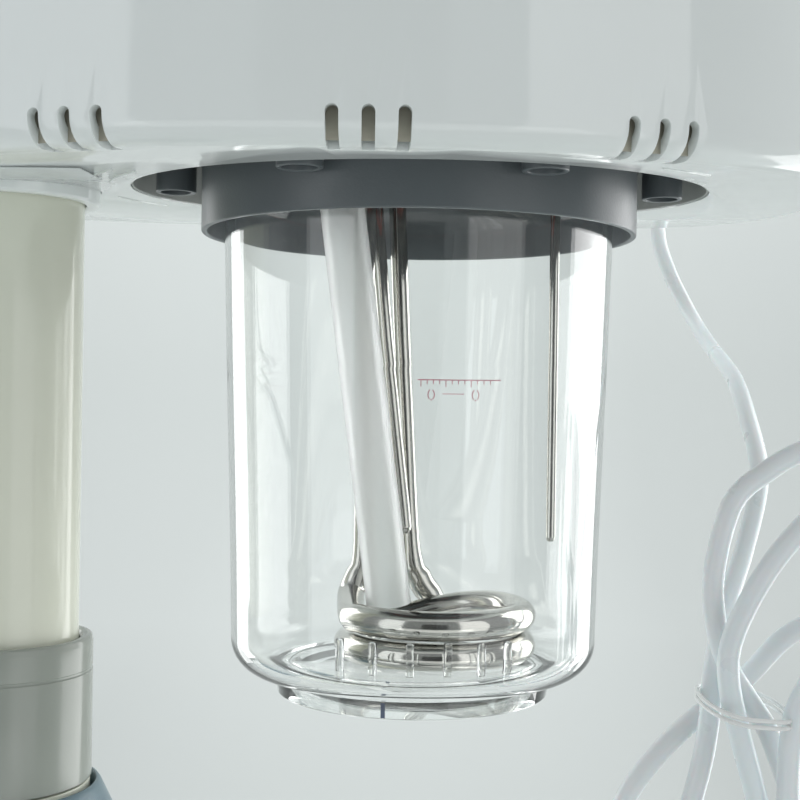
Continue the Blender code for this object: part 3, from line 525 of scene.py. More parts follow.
def curve_tube(name, points, radius, look, body, replaces):
    """A cord or wire as a curve of one open spline."""
    data = bpy.data.curves.new(name, "CURVE")
    data.dimensions = "3D"
    data.bevel_depth = radius * MM
    data.bevel_resolution = 6
    data.use_fill_caps = True
    spline = data.splines.new("POLY")
    spline.points.add(len(points) - 1)
    spline.use_smooth = True
    for target, point in zip(spline.points, points):
        target.co = (*(point * MM), 1)
    return settle(linked(name, data), body, look, replaces)


def dress_cord():
    """The gland, the plug, the lead as a curve between them, and the wire tie round the hank."""
    relief = lathe(
        [(0, 34), (4.6, 34), (5.2, 30), (6.6, 4), (9.8, 3.2), (9.8, 0.6), (6.6, -0.2), (6.6, -11), (0, -11)],
        48, False, 0.5,
    )
    for z in (9, 14, 19, 24):
        merged(relief, ring(6.9 - 0.055 * z, 4, z - 1.1, z + 1.1, 40, 0.3))
    gland = piece("gland", relief, "head", "cord_white", GLAND, along(OUT), ("strain_relief",))
    body = lathe(
        [
            (0, 0.5), (4.2, 0.5), (5.2, -12), (7.5, -16), (13, -22), (17, -29), (18.2, -34), (18.2, -49),
            (0, -50),
        ],
        64, False, 1.5, 4,
    )
    for z in (-4, -8, -12):
        merged(body, ring(6.2, 3, z - 1, z + 1, 40))
    bars(body, evenly(10), 18.2, -41.5, (1.6, 1.4, 11), 0.5)
    plug = piece("plug_body", body, "head", "cord_white", PLUG_TOP, None, ("mains_plug",))
    pins = bmesh.new()
    for side in (-9.5, 9.5):
        pin = lathe([(0, -48), (2.4, -48), (2.4, -68.5), (1.6, -69), (0, -69)], 24, False, 0.5)
        merged(pins, pin, (side, 0, 0))
    pin_pair = piece("plug_pins", pins, "head", "steel", PLUG_TOP)
    lead = curve_tube("mains_lead", cord_points, CORD_R, "cord_white", "head",
                      ("power_cord", "cord_hank", "cord_tail"))
    tie_route = []
    for a in [2 * math.pi * n / 60 for n in range(121)]:
        across = math.copysign(abs(math.cos(a)) ** 0.7, math.cos(a))
        rise = 0.3 * a + 2.8 - 2.0 * math.cos(a) + 1.2 * math.sin(a)
        tie_route.append(TIE + Vector((13.2 * across - 0.9, 19.2 * math.sin(a) - 2.0, rise)))
    tie_route += [tie_route[-1] + Vector((2.0, -1.0, 0.8)), tie_route[-1] + Vector((5.0, -3.0, 2.5))]
    tie = piece("wire_tie", tube(tie_route, 0.65, 10), "head", "button_white")


dress_cord()


# ---------------------------------------------------------------- head
def outline(inset=0.0, count=220):
    """The head's plan about its own centre: an elliptic front and a squarer back."""
    half_x, half_y = 151.0 - inset, 122.0 - inset
    fine = []
    for angle in evenly(2400):
        c, s = math.cos(angle), math.sin(angle)
        power = 2 / (2.1 if s < 0 else 3.4)
        x, y = math.copysign(abs(c) ** power, c) * half_x, math.copysign(abs(s) ** power, s) * half_y
        fine.append(Vector((x, y)))
    return respaced(fine + fine[:1], lambda length: count)


def head_ring(inset, height, slope=0.0):
    return [Vector((HEAD_X + p.x, HEAD_Y + p.y, height + slope * (HEAD_Y + p.y))) for p in outline(inset)]


def head_shell(profile, wall, closed=True):
    """An outer skin from the rim to the far face, and an inner one with its face moved in by the wall."""
    away = wall if profile[-1][1] < profile[0][1] else -wall
    inner = [
        (inset + wall, height + away * smoothstep(index / (len(profile) - 1)), slope)
        for index, (inset, height, slope) in enumerate(profile)
    ]
    bm = bmesh.new()
    skins = [[[bm.verts.new(p) for p in head_ring(*level)] for level in levels] for levels in (profile, inner)]
    for skin in skins:
        for first, second in zip(skin, skin[1:]):
            bridged(bm, first, second)
        if closed:
            bm.faces.new(skin[-1])
    bridged(bm, skins[0][0], skins[1][0])
    return bm


def fillet(radius, low, steps, slope=0.0, up=1):
    """Profile points round an edge between the side and a closed face."""
    angles = [math.pi / 2 * step / steps for step in range(steps + 1)]
    return [(radius * (1 - math.cos(a)), low + up * radius * (1 - math.sin(a)), slope) for a in angles]


def face_point(start, direction, depth):
    """The place a ray in plan meets the head's side, moved back by a depth."""
    rays = [Vector((HEAD_X, HEAD_Y)) + p - start for p in outline(0, 1200)]
    best = max(rays, key=lambda ray: ray.normalized().dot(direction))
    return start + direction * (best.length - depth)


def vent_tools():
    """Nine upright slots in the front of the head, in three groups of three, as one cutter."""
    centre = Vector((JAR_X - 17, 96))
    tools = bmesh.new()
    for group in (-69.7, 0, 69.7):
        for place in (-8.1, 0, 8.1):
            angle = (group + place + 4.4) / 206.0 - math.pi / 2
            spot = face_point(centre, Vector((math.cos(angle), math.sin(angle))), 3)
            top = UNDER + 8.6 + SLOPE * spot.y
            merged(tools, capsule_prism(3.0, 26, 15), (spot.x, spot.y, top - 13), about_z(angle))
    return tools


RECESS_R = 84.2


def cylinder_tool(radius, low, high, x, y, sides=96, turn=None):
    tool = lathe([(0, high), (radius, high), (radius, low), (0, low)], sides, False, 0)
    return moved(tool, placing((x, y, 0), turn))


def lower_shell():
    profile = [(0.0, PARTING - 0.2, 0), (0.0, PARTING - 6, 0), (0.0, UNDER + 36, 0), (0.0, UNDER + 20, 0.2 * SLOPE)]
    profile += fillet(7.0, UNDER, 8, SLOPE)
    body = carved(head_shell(profile, 2.8), [
        cylinder_tool(RECESS_R + 0.8, UNDER - 30, UNDER + 22, JAR_X, 0, 160),
        cylinder_tool(28.9, UNDER - 30, UNDER + 30, POLE_X, 0, 96),
        vent_tools(),
    ], 0.45)
    piece("shell_lower", body, "head", "white_shell", replaces=("head_lower_shell",))
    # The cup's grey, far darker than the shell's white, is painted shade in the recess.
    cup = lathe(
        [
            (RECESS_R + 0.7, 26.6), (RECESS_R + 0.7, 4.8), (RECESS_R, 4.8), (RECESS_R, 20.4), (80.6, 20.4),
            (80.6, 24), (62.6, 24), (62.6, 26.6),
        ],
        160, True, 0.2,
    )
    for vert in cup.verts:
        if vert.co.z < 10:
            vert.co.z += SLOPE * vert.co.y - 4.4
    piece("recess_cup", cup, "head", "recess_shade_grey", AXIS, None, ("recess_liner",))
    screen = head_shell([(4.4, UNDER + 16, 0), (4.4, UNDER + 1.2, SLOPE)], 1.0, closed=False)
    piece("vent_screen", screen, "head", "screen_grey")


def upper_shell():
    profile = [(0.0, PARTING + 0.5, 0), (0.0, PARTING + 5, 0), (0.0, HEAD_TOP - 45, 0)]
    profile += fillet(26.0, HEAD_TOP, 14, up=-1)
    duct_hole = cylinder_tool(19.6, HEAD_TOP - 20, HEAD_TOP + 20, JAR_X, 0, 64)
    body = carved(head_shell(profile, 2.8), [duct_hole], 0.5)
    piece("shell_upper", body, "head", "white_shell", replaces=("head_upper_shell",))
    band = head_shell([(1.0, PARTING + 2.0, 0), (1.0, PARTING - 2.0, 0)], 1.6, closed=False)
    piece("parting_seal", band, "head", "wheel_grey")


lower_shell()
upper_shell()


# ---------------------------------------------------------------- boiler
BOSS_ANGLES = (0, 65, 115, 180, 245, 295)


def boss_place(angle, height=0.0):
    return polar(73.0, math.radians(angle), 0, 0, height)


def collar():
    body = lathe(
        [
            (80, 23.5), (80, 20.3), (64.6, 20.3, 1.0), (64.6, -12.9, 0.5), (62.9, -12.9, 0.5),
            (62.3, 20.0, 0.6),
            (46, 20.0), (46, 23.5),
        ],
        160,
    )
    for angle in BOSS_ANGLES:
        spot = boss_place(angle)
        low = SLOPE * spot.y - 0.3
        boss = lathe([(6.0, 21), (6.0, low), (4.6, low), (4.6, 14), (2.4, 14), (2.4, 21)], 48, True, 0.35)
        merged(body, boss, spot)
    bars(body, evenly(24), 62.1, 16, (1.2, 1.4, 6), 0.4)
    piece("collar", body, "head", "dark_collar", AXIS, None, ("jar_collar",))
    screws = bmesh.new()
    for angle in BOSS_ANGLES:
        head = [(0, 30), (1.6, 29), (1.6, 13.7), (3.5, 13.7), (3.5, 12.2), (2.6, 11.1), (0, 10.9)]
        cross = [slab((4.2, 0.9, 2.2), 0.1, 1), slab((0.9, 4.2, 2.2), 0.1, 1)]
        screw = carved(lathe(head, 32, False, 0.3), cross, 0, (0, 0, 11.2))
        merged(screws, screw, boss_place(angle))
    piece("boss_screws", screws, "head", "steel", AXIS, None,
          tuple(f"collar_screw_{n}" for n in range(1, 7)))


SPLASH = (Vector((-23.2, -9.5, 0)), Vector((-0.131, -0.03, 1.0)).normalized())
LEG_A = Vector((-16, 13, 0))
LEG_B = Vector((-6.5, 32, 0))
SENSOR = Vector((-14.5, 25, 0))
PROBE = (JAR_X + 41.5, 2, UNDER)


def lid():
    body = lathe(
        [(0, 19.8), (62.2, 19.8), (62.2, 15.2), (58, 15.2), (57, 16.4), (20, 16.4), (19, 15.2), (0, 15.2)],
        128, False, 0.5,
    )
    bars(body, evenly(12, 0.5), 38, 15.9, (30, 1.6, 2.0), 0.4)
    spigot = lathe([(4.8, 18), (4.8, 4.6), (4.2, 4.0), (3.4, 4.0), (3.4, 18)], 40)
    merged(body, spigot, SPLASH[0], along(SPLASH[1]))
    for place in (LEG_A, LEG_B, SENSOR):
        merged(body, ring(5.2, 2.4, 13.6, 16, 32, 0.4), place)
    piece("lid", body, "head", "dark_collar", AXIS, None, ("boiler_lid",))
    seal = ring(58.4, 54.6, 11.4, 14.6, 128, 1.2, 5)
    piece("seal_ring", seal, "seal", "red_seal", AXIS, None, ("jar_gasket",))


COIL_AT = Vector((6.6, 0.0, 0.0))
COIL_R = 26.0
COIL_SWEEP = 2 * math.pi * 1.75 - 0.24


def coil_point(turned):
    swell = 9.6 * smoothstep((turned - (COIL_SWEEP - 1.3)) / 1.1)
    drop = 9.0 * smoothstep((turned - math.radians(215)) / math.radians(130))
    point = polar(COIL_R + swell, math.pi + turned, COIL_AT.x, COIL_AT.y)
    return Vector((point.x, point.y, -125.0 - drop))


def heater():
    first, last = coil_point(0), coil_point(COIL_SWEEP)
    knee = first + Vector((3.6, 9.6, 17))
    route = [LEG_A + Vector((0, 0, 30)), LEG_A, LEG_A.lerp(knee, 0.55), knee,
             first + Vector((2.0, 9.0, 9.5)), first + Vector((0.4, 6.6, 3.6))]
    route += [coil_point(COIL_SWEEP * n / 60) for n in range(2, 59)]
    route += [last + Vector((-3.2, 0.5, 0.6)), last + Vector((-6.8, 0.2, 3.6)), last + Vector((-8.9, -0.2, 8.8))]
    foot = Vector((2.3, 34.4, -119))
    route += [foot, Vector((-0.9, 32.8, -103)), LEG_B, LEG_B + Vector((0, 0, 30))]
    path = smooth_path(route, 2.2)
    total = len(path)
    low = [index for index, p in enumerate(path) if p.z < -116]

    def size(share):
        index = share * (total - 1)
        near = smoothstep((index - low[0] + 5) / 8) * smoothstep((low[-1] + 5 - index) / 8)
        return 2.85 + (4.2 - 2.85) * near

    bm = tube(path, size, 28)
    piece("heating_tube", bm, "head", "steel", AXIS, None, ("heater_coil",))
    nuts = bmesh.new()
    for place in (LEG_A, LEG_B):
        merged(nuts, ring(6.1, 3.4, 20.3, 25.4, 6, 0.3, 2), place)
    piece("heater_nuts", nuts, "head", "brass", AXIS, None, ("heater_nut_left", "heater_nut_right"))


def sensors():
    end = Vector((-2.8, 21.5, -101.5))
    well = smooth_path([SENSOR + Vector((0, 0, 25.5)), SENSOR + Vector((0, 0, 11)), SENSOR.lerp(end, 0.5), end], 6)
    piece("sensor_rod", tube(well, 2.35, 24), "head", "steel", AXIS, None, ("sensor_well",))
    probe = lathe([(0, 33), (1.5, 33), (1.5, -102.4), (1.0, -103.5), (0, -103.7)], 28, False)
    piece("probe_rod", probe, "head", "steel", PROBE, None, ("level_probe",))
    bush = lathe([(3.9, 24), (3.9, 14.6), (6.1, 14.6), (6.1, 11.2), (1.7, 11.2), (1.7, 24)], 40, True, 0.6)
    piece("probe_sleeve", bush, "head", "silicone", PROBE, None, ("probe_bush",))
    tube_wall = ring(6.6, 5.1, -123.3, 13.4, 64, 0.3)
    piece("splash_sleeve", tube_wall, "head", "silicone", SPLASH[0] + Vector(AXIS),
          along(SPLASH[1]), ("splash_tube",))


def jar():
    foot, floor = -148.3, -142.2
    quarter = [math.pi / 2 * n / 14 for n in range(15)]
    outer = [(57.2, 11.0), (57.8, 10.4), (57.8, -6.0)]
    heights = [-20, -34, -46, -52.4, -53, -53.6, -60, -74, -88, -102, -116, -126]
    side = [(57.8 - 1.44 * smoothstep((8 + h) / (floor + 18)) - 2.16 * (8 + h) / (floor + 18), h) for h in heights]
    outer += [(r + 0.05 * (h == -53), h) for r, h in side]  # a faint moulding line round the middle
    outer += [(44.2 + 10 * math.cos(a), floor + 10 - 10 * math.sin(a)) for a in quarter]
    under = [
        (41.2, floor - 0.4), (40.6, floor - 1.2), (40.3, foot + 0.4), (39.9, foot), (37.7, foot),
        (37.3, foot + 0.4), (36.9, floor - 0.2), (36.2, floor + 0.1), (0, floor + 0.1),
    ]
    floor_top = [(0, floor + 3.0), (43.0, floor + 3.0)]
    inner = [(44.2 + 7.2 * math.cos(a), floor + 10.3 - 7.2 * math.sin(a)) for a in quarter[::-1]]
    inner += [(r - 2.8, h) for r, h in side[::-1]]
    inner += [(55.0, -6), (55.0, 10.4), (55.6, 11.0)]
    return lathe(outer + under + floor_top + inner, 180, True, 0)


def dress_jar():
    body = piece("jar_clear", jar(), "jar", "clear_jar", AXIS, None, ("jar",), sharp=50)
    thread = bmesh.new()
    for start in range(3):
        a0 = 2 * math.pi * start / 3
        path = [polar(58.6, a0 + 1.9 * n / 40, 0, 0, 1.5 + 6.0 * n / 40) for n in range(41)]
        merged(thread, tube(path, lambda s: 0.35 + 0.95 * min(1, 6 * min(s, 1 - s)), 10))
    ridges = piece("jar_thread", thread, "jar", "clear_jar", AXIS)
    pegs = bmesh.new()
    for radius, angle in ((33.4, -127.7), (33.4, -109.7), (33.4, -91.7), (33.4, -73.7), (36, -58.8), (38, -46.8)):
        bars(pegs, [math.radians(angle)], radius, -133.9, (2.0, 2.2, 10.8), 0.6, 3)
    stubs = piece("jar_pegs", pegs, "jar", "clear_jar", AXIS)
    for clear_piece in (body, ridges, stubs):
        clear_piece.visible_shadow = False
    piece("jar_index", arc_strip(40.32, 0.12, -147.9, -143.8, -102.6, -100.9), "jar", "mark_blue", AXIS)
    jar_print()


def arc_strip(radius, thick, low, high, start, stop, steps=8):
    """A thin printed patch on a cylinder, between two angles in degrees."""
    start, stop = math.radians(start), math.radians(stop)
    return ring(radius, radius + thick, low, high, steps, 0, start=start, sweep=stop - start)


def jar_print():
    """A plain fill line with ticks and two small drops, printed on the back wall."""
    ink = bmesh.new()
    wall = 56.55

    def mark(x_from, x_to, low, high):
        angles = sorted(math.degrees(math.acos(x / wall)) for x in (x_from, x_to))
        merged(ink, arc_strip(wall, 0.08, low, high, angles[0], angles[1], 10))

    z = -53.0
    mark(1.2, 30.0, z - 0.45, z)
    for n in range(12):
        x = 2.2 + 2.2 * n
        mark(x, x + 0.3, z - (3.2 if n % 4 == 0 else 2.0), z - 0.35)
    for middle in (6.0, 21.5):
        for n in range(9):
            high = n / 8
            half = 1.5 * math.sqrt(max(0.02, high * (1.15 - high) * 3)) * (1 - 0.25 * high)
            mark(middle - half, middle - half + 0.35, z - 8.6 + 3.6 * high, z - 8.1 + 3.6 * high)
            mark(middle + half - 0.35, middle + half, z - 8.6 + 3.6 * high, z - 8.1 + 3.6 * high)
    mark(10.0, 17.5, z - 6.4, z - 6.1)
    piece("jar_scale", ink, "jar", "print_red", AXIS)


collar()
lid()
heater()
sensors()
dress_jar()


# ---------------------------------------------------------------- pole
def fluted(levels, sides=192, flutes=8, groove=1.7, spread_mm=4.6):
    """Rings of (radius, height, depth of the flutes from 0 to 1)."""
    rings = []
    for radius, height, depth in levels:
        points = []
        for a in evenly(sides):
            off = (a * flutes / (2 * math.pi) - 0.5) % 1.0
            off = min(off, 1 - off) * 2 * math.pi * radius / flutes
            cut = groove * depth * max(0.0, 1 - (off / spread_mm) ** 2) ** 1.5
            points.append(Vector(((radius - cut) * math.cos(a), (radius - cut) * math.sin(a), height)))
        rings.append(points)
    return rings


def pole():
    at = (POLE_X, 0, 0)
    top = UNDER - 133.8
    low = top - 43.0
    socket = lathe(
        [
            (0, 51), (29, 51), (29, 9.5), (33.5, 9.5), (33.5, 6.2), (28.6, 6.2), (28.6, -4.4, 1.0),
            (24.4, -4.4, 0.6),
            (24.4, 46), (0, 46),
        ],
        112,
    )
    piece("socket", socket, "head", "white_shell", (POLE_X, 0, UNDER), None, ("pole_socket",))
    inner = ring(24, 22, 285, UNDER + 44, 128, 0.3)
    piece("pole_inner", inner, "mast", "cream_pole", at, None, ("inner_pole",))
    bush = ring(25.6, 24.3, 285, 313, 96, 0.3)
    piece("bush", bush, "mast", "black_rubber", at, None, ("guide_bush",))
    sleeve = lathe(
        [
            (26.6, top, 0.5), (28.0, top - 0.2, 0.8), (28.4, top - 2.2, 0.4), (28.4, top - 9.4, 0.15),
            (28.05, top - 9.7, 0.1), (28.05, top - 10.3, 0.1), (28.4, top - 10.6, 0.15),
            (28.4, low + 0.2, 0.3),
            (25.7, low + 0.2), (25.7, low - 22), (24.35, low - 22), (24.35, top - 1.6, 0.6),
            (25.3, top - 0.3, 0.4),
        ],
        128,
    )
    piece("sleeve", sleeve, "base", "grey_sleeve", at, None, ("pole_sleeve",))
    outer = ring(28, 26, 84.7, low - 0.4, 128, 0.35)
    piece("pole_outer", outer, "base", "cream_pole", at, None, ("outer_pole",))
    nut_top = low - 0.6
    levels = [(29.3, -1.2, 0), (29.9, -0.4, 0), (30.6, -0.6, 0), (31.4, -1.6, 0)]
    levels += [(31.4 + 5.2 * n / 6, -1.6 - 11.0 * n / 6, 0) for n in range(1, 7)]
    levels += [(37.3, -13.9, 0.0), (37.8, -15.4, 0.05), (38.0, -17.2, 0.45), (38.0, -18.4, 0.85), (38.0, -20, 1)]
    levels += [(38.0, -20 - 3.6 * n, 1) for n in range(1, 6)]
    levels += [(37.8, -40.2, 1), (37.0, -42.0, 0.9), (35.6, -43.5, 0.4), (34.6, -44.0, 0.1)]
    levels += [(29.6, -44.0, 0), (29.3, -43.4, 0)]
    nut = loft(fluted([(r, nut_top + h, d) for r, h, d in levels] + [(29.3, nut_top - 1.2, 0)]), False)
    bmesh.ops.remove_doubles(nut, verts=nut.verts, dist=0.01)
    piece("clamp_nut", nut, "nut", "slate_nut", at, None, ("lock_nut",))


# ---------------------------------------------------------------- rolling base
def rounded_section(half_w, half_h, radius, crown=0.0, steps=5):
    """A rounded rectangle in YZ with a crowned top."""
    found = []
    for sy, sz, start in ((1, 1, 0), (-1, 1, 90), (-1, -1, 180), (1, -1, 270)):
        for step in range(steps + 1):
            a = math.radians(start + 90 * step / steps)
            y = sy * (half_w - radius) + radius * math.cos(a)
            z = sz * (half_h - radius) + radius * math.sin(a)
            found.append((y, z + (crown * (1 - (y / half_w) ** 2) if z > 0 else 0)))
    return found


def base():
    hub = lathe(
        [
            (28.6, 133), (30.5, 134), (33, 133.6), (36, 130), (40.4, 110, 4), (44, 92, 6), (44.6, 80, 3),
            (44, 73, 2),
            (40, 70), (28.6, 70), (28.6, 84),
        ],
        128, True, 1.0, 4,
    )
    steps = 26
    for angle in evenly(LEGS):
        rings = []
        for step in range(steps + 1):
            share = step / steps
            reach = LEG_ROOT + (LEG_REACH + 4 - LEG_ROOT) * share
            width = 17 + 6.5 * (1 - share) ** 3 - 6.2 * share
            high = 13 + 2.5 * (1 - share) ** 3 - 4.6 * share
            middle = 85.0 - 12.6 * share - 1.2 * math.sin(math.pi * share)
            section = rounded_section(width, high, 5.0 - 1.2 * share, 1.4)
            rings.append([Vector((reach, y, middle + z)) for y, z in section])
        merged(hub, loft(rings), (0, 0, 0), about_z(angle))
        end = lathe(
            [(0, 84), (12.2, 84), (14, 82), (14, 57.5), (13, 56.6), (5, 56.6), (5, 79), (0, 79)], 56, False, 0.7
        )
        merged(hub, end, polar(LEG_REACH, angle))
        rim = lathe([(0, 84.7), (7.5, 84.5), (8.6, 83.7), (0, 83.0)], 48, False, 0.3)
        merged(hub, rim, polar(LEG_REACH, angle))
    piece("star", hub, "base", "base_white", (POLE_X, 0, 0), None, ("star_base",))


def casters():
    axle_z = 25.0 * math.cos(math.pi / 14)
    for number, angle in enumerate(evenly(LEGS), 1):
        facing = about_z(angle)
        stem = polar(LEG_REACH, angle, POLE_X)
        axle = facing @ Vector((16.0, 0, 0)) + stem + Vector((0, 0, axle_z))
        sideways = facing @ Matrix.Rotation(math.pi / 2, 3, "X")
        housing = lathe(
            [
                (0, 76), (3.6, 76), (4.3, 75), (4.3, 55.8), (9.2, 55.8), (10, 55), (10, 51.5),
                (4.3, 51.5), (4.3, 38), (0, 38),
            ],
            48, False, 0.5,
        )
        body = bmesh.new()
        merged(body, housing, stem)
        half = math.radians(72)
        # around the axle: Z of the lathe runs along the axle, and its X is turned to the top
        hood = lathe(
            [
                (28.9, 13.4, 2.2), (28.9, -13.4, 2.2), (27.0, -13.8, 0.6), (26.6, -13.2, 0.3),
                (26.6, 13.2, 0.3), (27.0, 13.8, 0.6),
            ],
            60, True, 0.5, 4, start=math.pi / 2 - half, sweep=2 * half,
        )
        merged(body, hood, axle, sideways)
        web = ring(21, 3.7, -4.4, 4.4, 72, 0.8)
        merged(body, web, axle, sideways)
        merged(body, slab((18, 8.6, 14), 1.6, 3), facing @ Vector((8, 0, 0)) + stem + Vector((0, 0, 48)), facing)
        piece(f"caster_housing_{number}", body, f"caster_{number}", "grey_sleeve", (0, 0, 0), None,
              (f"caster_fork_{number}",))
        tyre, cap = bmesh.new(), bmesh.new()
        for sign in (1, -1):
            tread = lathe(
                [
                    (16.5, 5.2), (22.5, 4.9, 0.4), (axle_z, 5.6, 1.0), (axle_z, 8.7, 0.2),
                    (axle_z - 0.5, 9.1, 0.1),
                    (axle_z, 9.5, 0.2), (axle_z, 12.3, 1.4), (21.6, 13.7, 0.6), (19.4, 13.75, 0.5),
                    (18.6, 12.4, 0.5),
                    (16.5, 12.2, 0.3),
                ],
                96,
            )
            merged(tyre, tread, (0, 0, 0), Matrix.Diagonal((1, 1, sign)))
            disc = lathe(
                [
                    (3.1, 5.0), (18.4, 5.0), (18.5, 12.0, 0.4), (16.0, 12.4, 0.6), (9.0, 10.6, 2.0),
                    (6.4, 12.8, 0.8), (0, 13.4),
                ],
                72, False, 0.6,
            )
            merged(cap, disc, (0, 0, 0), Matrix.Diagonal((1, 1, sign)))
            bars(cap, evenly(5), 12.3, sign * 11.7, (8.4, 1.5, 1.6), 0.5)
        merged(cap, lathe([(0, 5.2), (3.0, 5.2), (3.0, -5.2), (0, -5.2)], 32, False, 0.1))
        pair = f"wheels_{number}"
        piece(f"tyres_{number}", tyre, pair, "black_rubber", axle, sideways, (f"caster_{pair}",))
        piece(f"wheel_caps_{number}", cap, pair, "wheel_grey", axle, sideways)


# ---------------------------------------------------------------- controls
def controls():
    x, y = HEAD_X - 66, HEAD_Y - 46
    top = TOP_FACE + 1.9
    buttons = {"power_button": -33, "ozone_button": -11}
    knob_x = 22
    holes = [cylinder_tool(8.7, -10, 10, dx, 0, 48) for dx in buttons.values()]
    panel = carved(slab((100, 52, 3), 1.3, 4), [*holes, cylinder_tool(3.7, -10, 10, knob_x, 0, 32)], 0.3)
    lip = carved(slab((90, 42, 6), 1.0, 2), [slab((84, 36, 10), 1, 1)])
    merged(panel, lip, (0, 0, -4.3))
    for dx in buttons.values():
        merged(panel, lathe([(10.6, 1.9), (10.9, 1.3), (8.7, 1.3), (8.8, 1.9)], 56, True, 0.25), (dx, 0, 0))
    piece("panel", panel, "head", "panel_grey", (x, y, top), None, ("control_panel",))
    marks = bmesh.new()
    for n in range(13):
        a = math.pi / 2 - math.radians(300) * n / 12
        length, width, radius = (3.4, 0.7, 18.9) if n % 3 == 0 else (2.0, 0.5, 18.2)
        merged(marks, slab((length, width, 0.16), 0.05, 1), polar(radius, a, knob_x, 0, 1.53), about_z(a))
    for dx in buttons.values():
        merged(marks, slab((5.0, 0.8, 0.16), 0.05, 1), (dx, -14.0, 1.53))
    merged(marks, slab((4.0, 0.8, 0.16), 0.05, 1), (knob_x, -23.0, 1.53))
    piece("panel_marks", marks, "head", "button_white", (x, y, top))
    lamps = bmesh.new()
    for dx in buttons.values():
        lamp = lathe([(0, 2.5), (1.0, 2.2), (1.5, 1.4), (1.5, 0.5), (0, 0.5)], 24, False, 0.3)
        merged(lamps, lamp, (dx, 14.0, 0))
    piece("panel_lamps", lamps, "head", "lamp_glass", (x, y, top))
    for name, dx in buttons.items():
        cap = lathe(
            [
                (0, 3.6), (4.6, 3.75, 2), (6.2, 4.3, 0.6), (7.5, 3.5, 0.9), (7.7, -5), (5, -5), (5, -9),
                (0, -9),
            ],
            72, False,
        )
        merged(cap, lathe([(2.6, 4.0), (2.1, 4.0), (2.1, 3.5), (2.6, 3.5)], 40, True, 0.08))
        piece(f"{name}_cap", cap, name, "button_white", (x + dx, y, top), None, (name,))
    knob = loft(fluted([
        (4.0, 13.2, 0), (9.4, 13.4, 0), (10.6, 13.9, 0), (11.4, 13.8, 0.1), (12.2, 13.2, 0.5),
        (12.8, 12.0, 1),
        (13.6, 7, 1), (14.4, 2.2, 0.9), (14.8, 0.6, 0.2), (14.8, 0.1, 0), (3.1, 0.1, 0), (3.1, -10, 0),
    ], 216, 24, 0.55, 1.1))
    piece("timer_cap", knob, "timer_knob", "dark_collar", (x + knob_x, y, top + 1.9), None, ("timer_knob",))
    pointer = slab((1.3, 8.5, 0.8), 0.3, 2)
    piece("timer_pointer", pointer, "timer_knob", "button_white", (x + knob_x, y + 6.6, top + 1.9 + 13.6))


# ---------------------------------------------------------------- steam arm
PIVOT = Vector((JAR_X, 0, TOP_FACE + 34.5))
RISE = math.radians(42)
ARM = Vector((0, -math.cos(RISE), math.sin(RISE)))
ACROSS = along((1, 0, 0))


def ear(side):
    """An upright cheek with a round top, seen from the side as a stadium."""
    edge = [(-17, -31), (17, -31)]
    edge += [(17 * math.cos(a), 17 * math.sin(a)) for a in [math.pi * n / 28 for n in range(29)]]
    bm = loft([[(x, y, z) for y, z in edge] for x in (-3.5, 3.5)])
    rims = [e for e in bm.edges if abs(e.verts[0].co.x - e.verts[1].co.x) < 0.01]
    bmesh.ops.bevel(bm, geom=rims, offset=0.9, segments=3, affect="EDGES", profile=0.5)
    bmesh.ops.translate(bm, vec=(side * 20.5, 0, 0), verts=bm.verts)
    return bm


def arm():
    top = TOP_FACE + 0.3
    turret = lathe(
        [
            (8.7, top + 17), (18.5, top + 17, 1), (27, top + 13.4, 6), (31, top + 5, 4),
            (31.9, top + 0.5, 0.5), (19, top + 0.5),
            (19, top - 5.4), (8.7, top - 5.4),
        ],
        128, True, 0.5, 5,
    )
    body = bmesh.new()
    merged(body, turret, (JAR_X, 0, 0))
    for side in (1, -1):
        merged(body, carved(ear(side), [cylinder_tool(4.3, -40, 40, 0, 0, 40, ACROSS)], 0.25), PIVOT)
    piece("turret", body, "turret", "white_shell", replaces=("arm_turret",))
    ring_line = lathe([(29.9, top + 7.6), (30.2, top + 7.0), (29.6, top + 6.4), (29.0, top + 7.0)], 128, True, 0)
    piece("turret_seal", ring_line, "turret", "wheel_grey", (JAR_X, 0, 0))
    pin = lathe(
        [
            (0, 28.6), (6.2, 28.6), (7, 27.6), (7, 25), (4, 24.4), (4, -24.4), (7, -25), (7, -27.6),
            (6.2, -28.6), (0, -28.6),
        ],
        56, False,
    )
    pin = carved(pin, [slab((1.4, 16, 3), 0.1, 1)], 0.15, (0, 0, 28.9))
    piece("pin", pin, "turret", "steel", PIVOT, ACROSS, ("arm_pin",))
    lean = along(ARM)
    tube_profile = [
        (8.1, 215), (10.4, 215), (11, 214.2), (11, 201.2), (13.2, 200.6, 0.5), (13.6, 199, 0.5), (15, 155, 8),
        (15.15, 104, 0.2), (14.7, 103.4, 0.2), (14.7, 101.8, 0.2), (15.2, 101.2, 0.2), (15.5, 28, 3),
        (15.5, 6), (8.1, 6),
    ]
    shaft = bmesh.new()
    merged(shaft, lathe(tube_profile, 112, True, 0.3), PIVOT, lean)
    barrel = lathe(
        [(4.4, 16.4), (14.6, 16.4, 1), (15.5, 15.4, 0.8), (15.5, -15.4, 0.8), (14.6, -16.4, 1), (4.4, -16.4)],
        112, True, 0.5,
    )
    merged(shaft, barrel, PIVOT, ACROSS)
    for n in range(9):
        grip = lathe([(15.3, 1), (16.1, 0.5), (16.1, -0.5), (15.3, -1), (14.2, 0)], 96, True, 0.25)
        merged(shaft, grip, PIVOT + ARM * (34 + 5.2 * n), lean)
    piece("arm_tube", shaft, "arm", "white_shell", replaces=("steam_arm",))
    nozzle(lean)


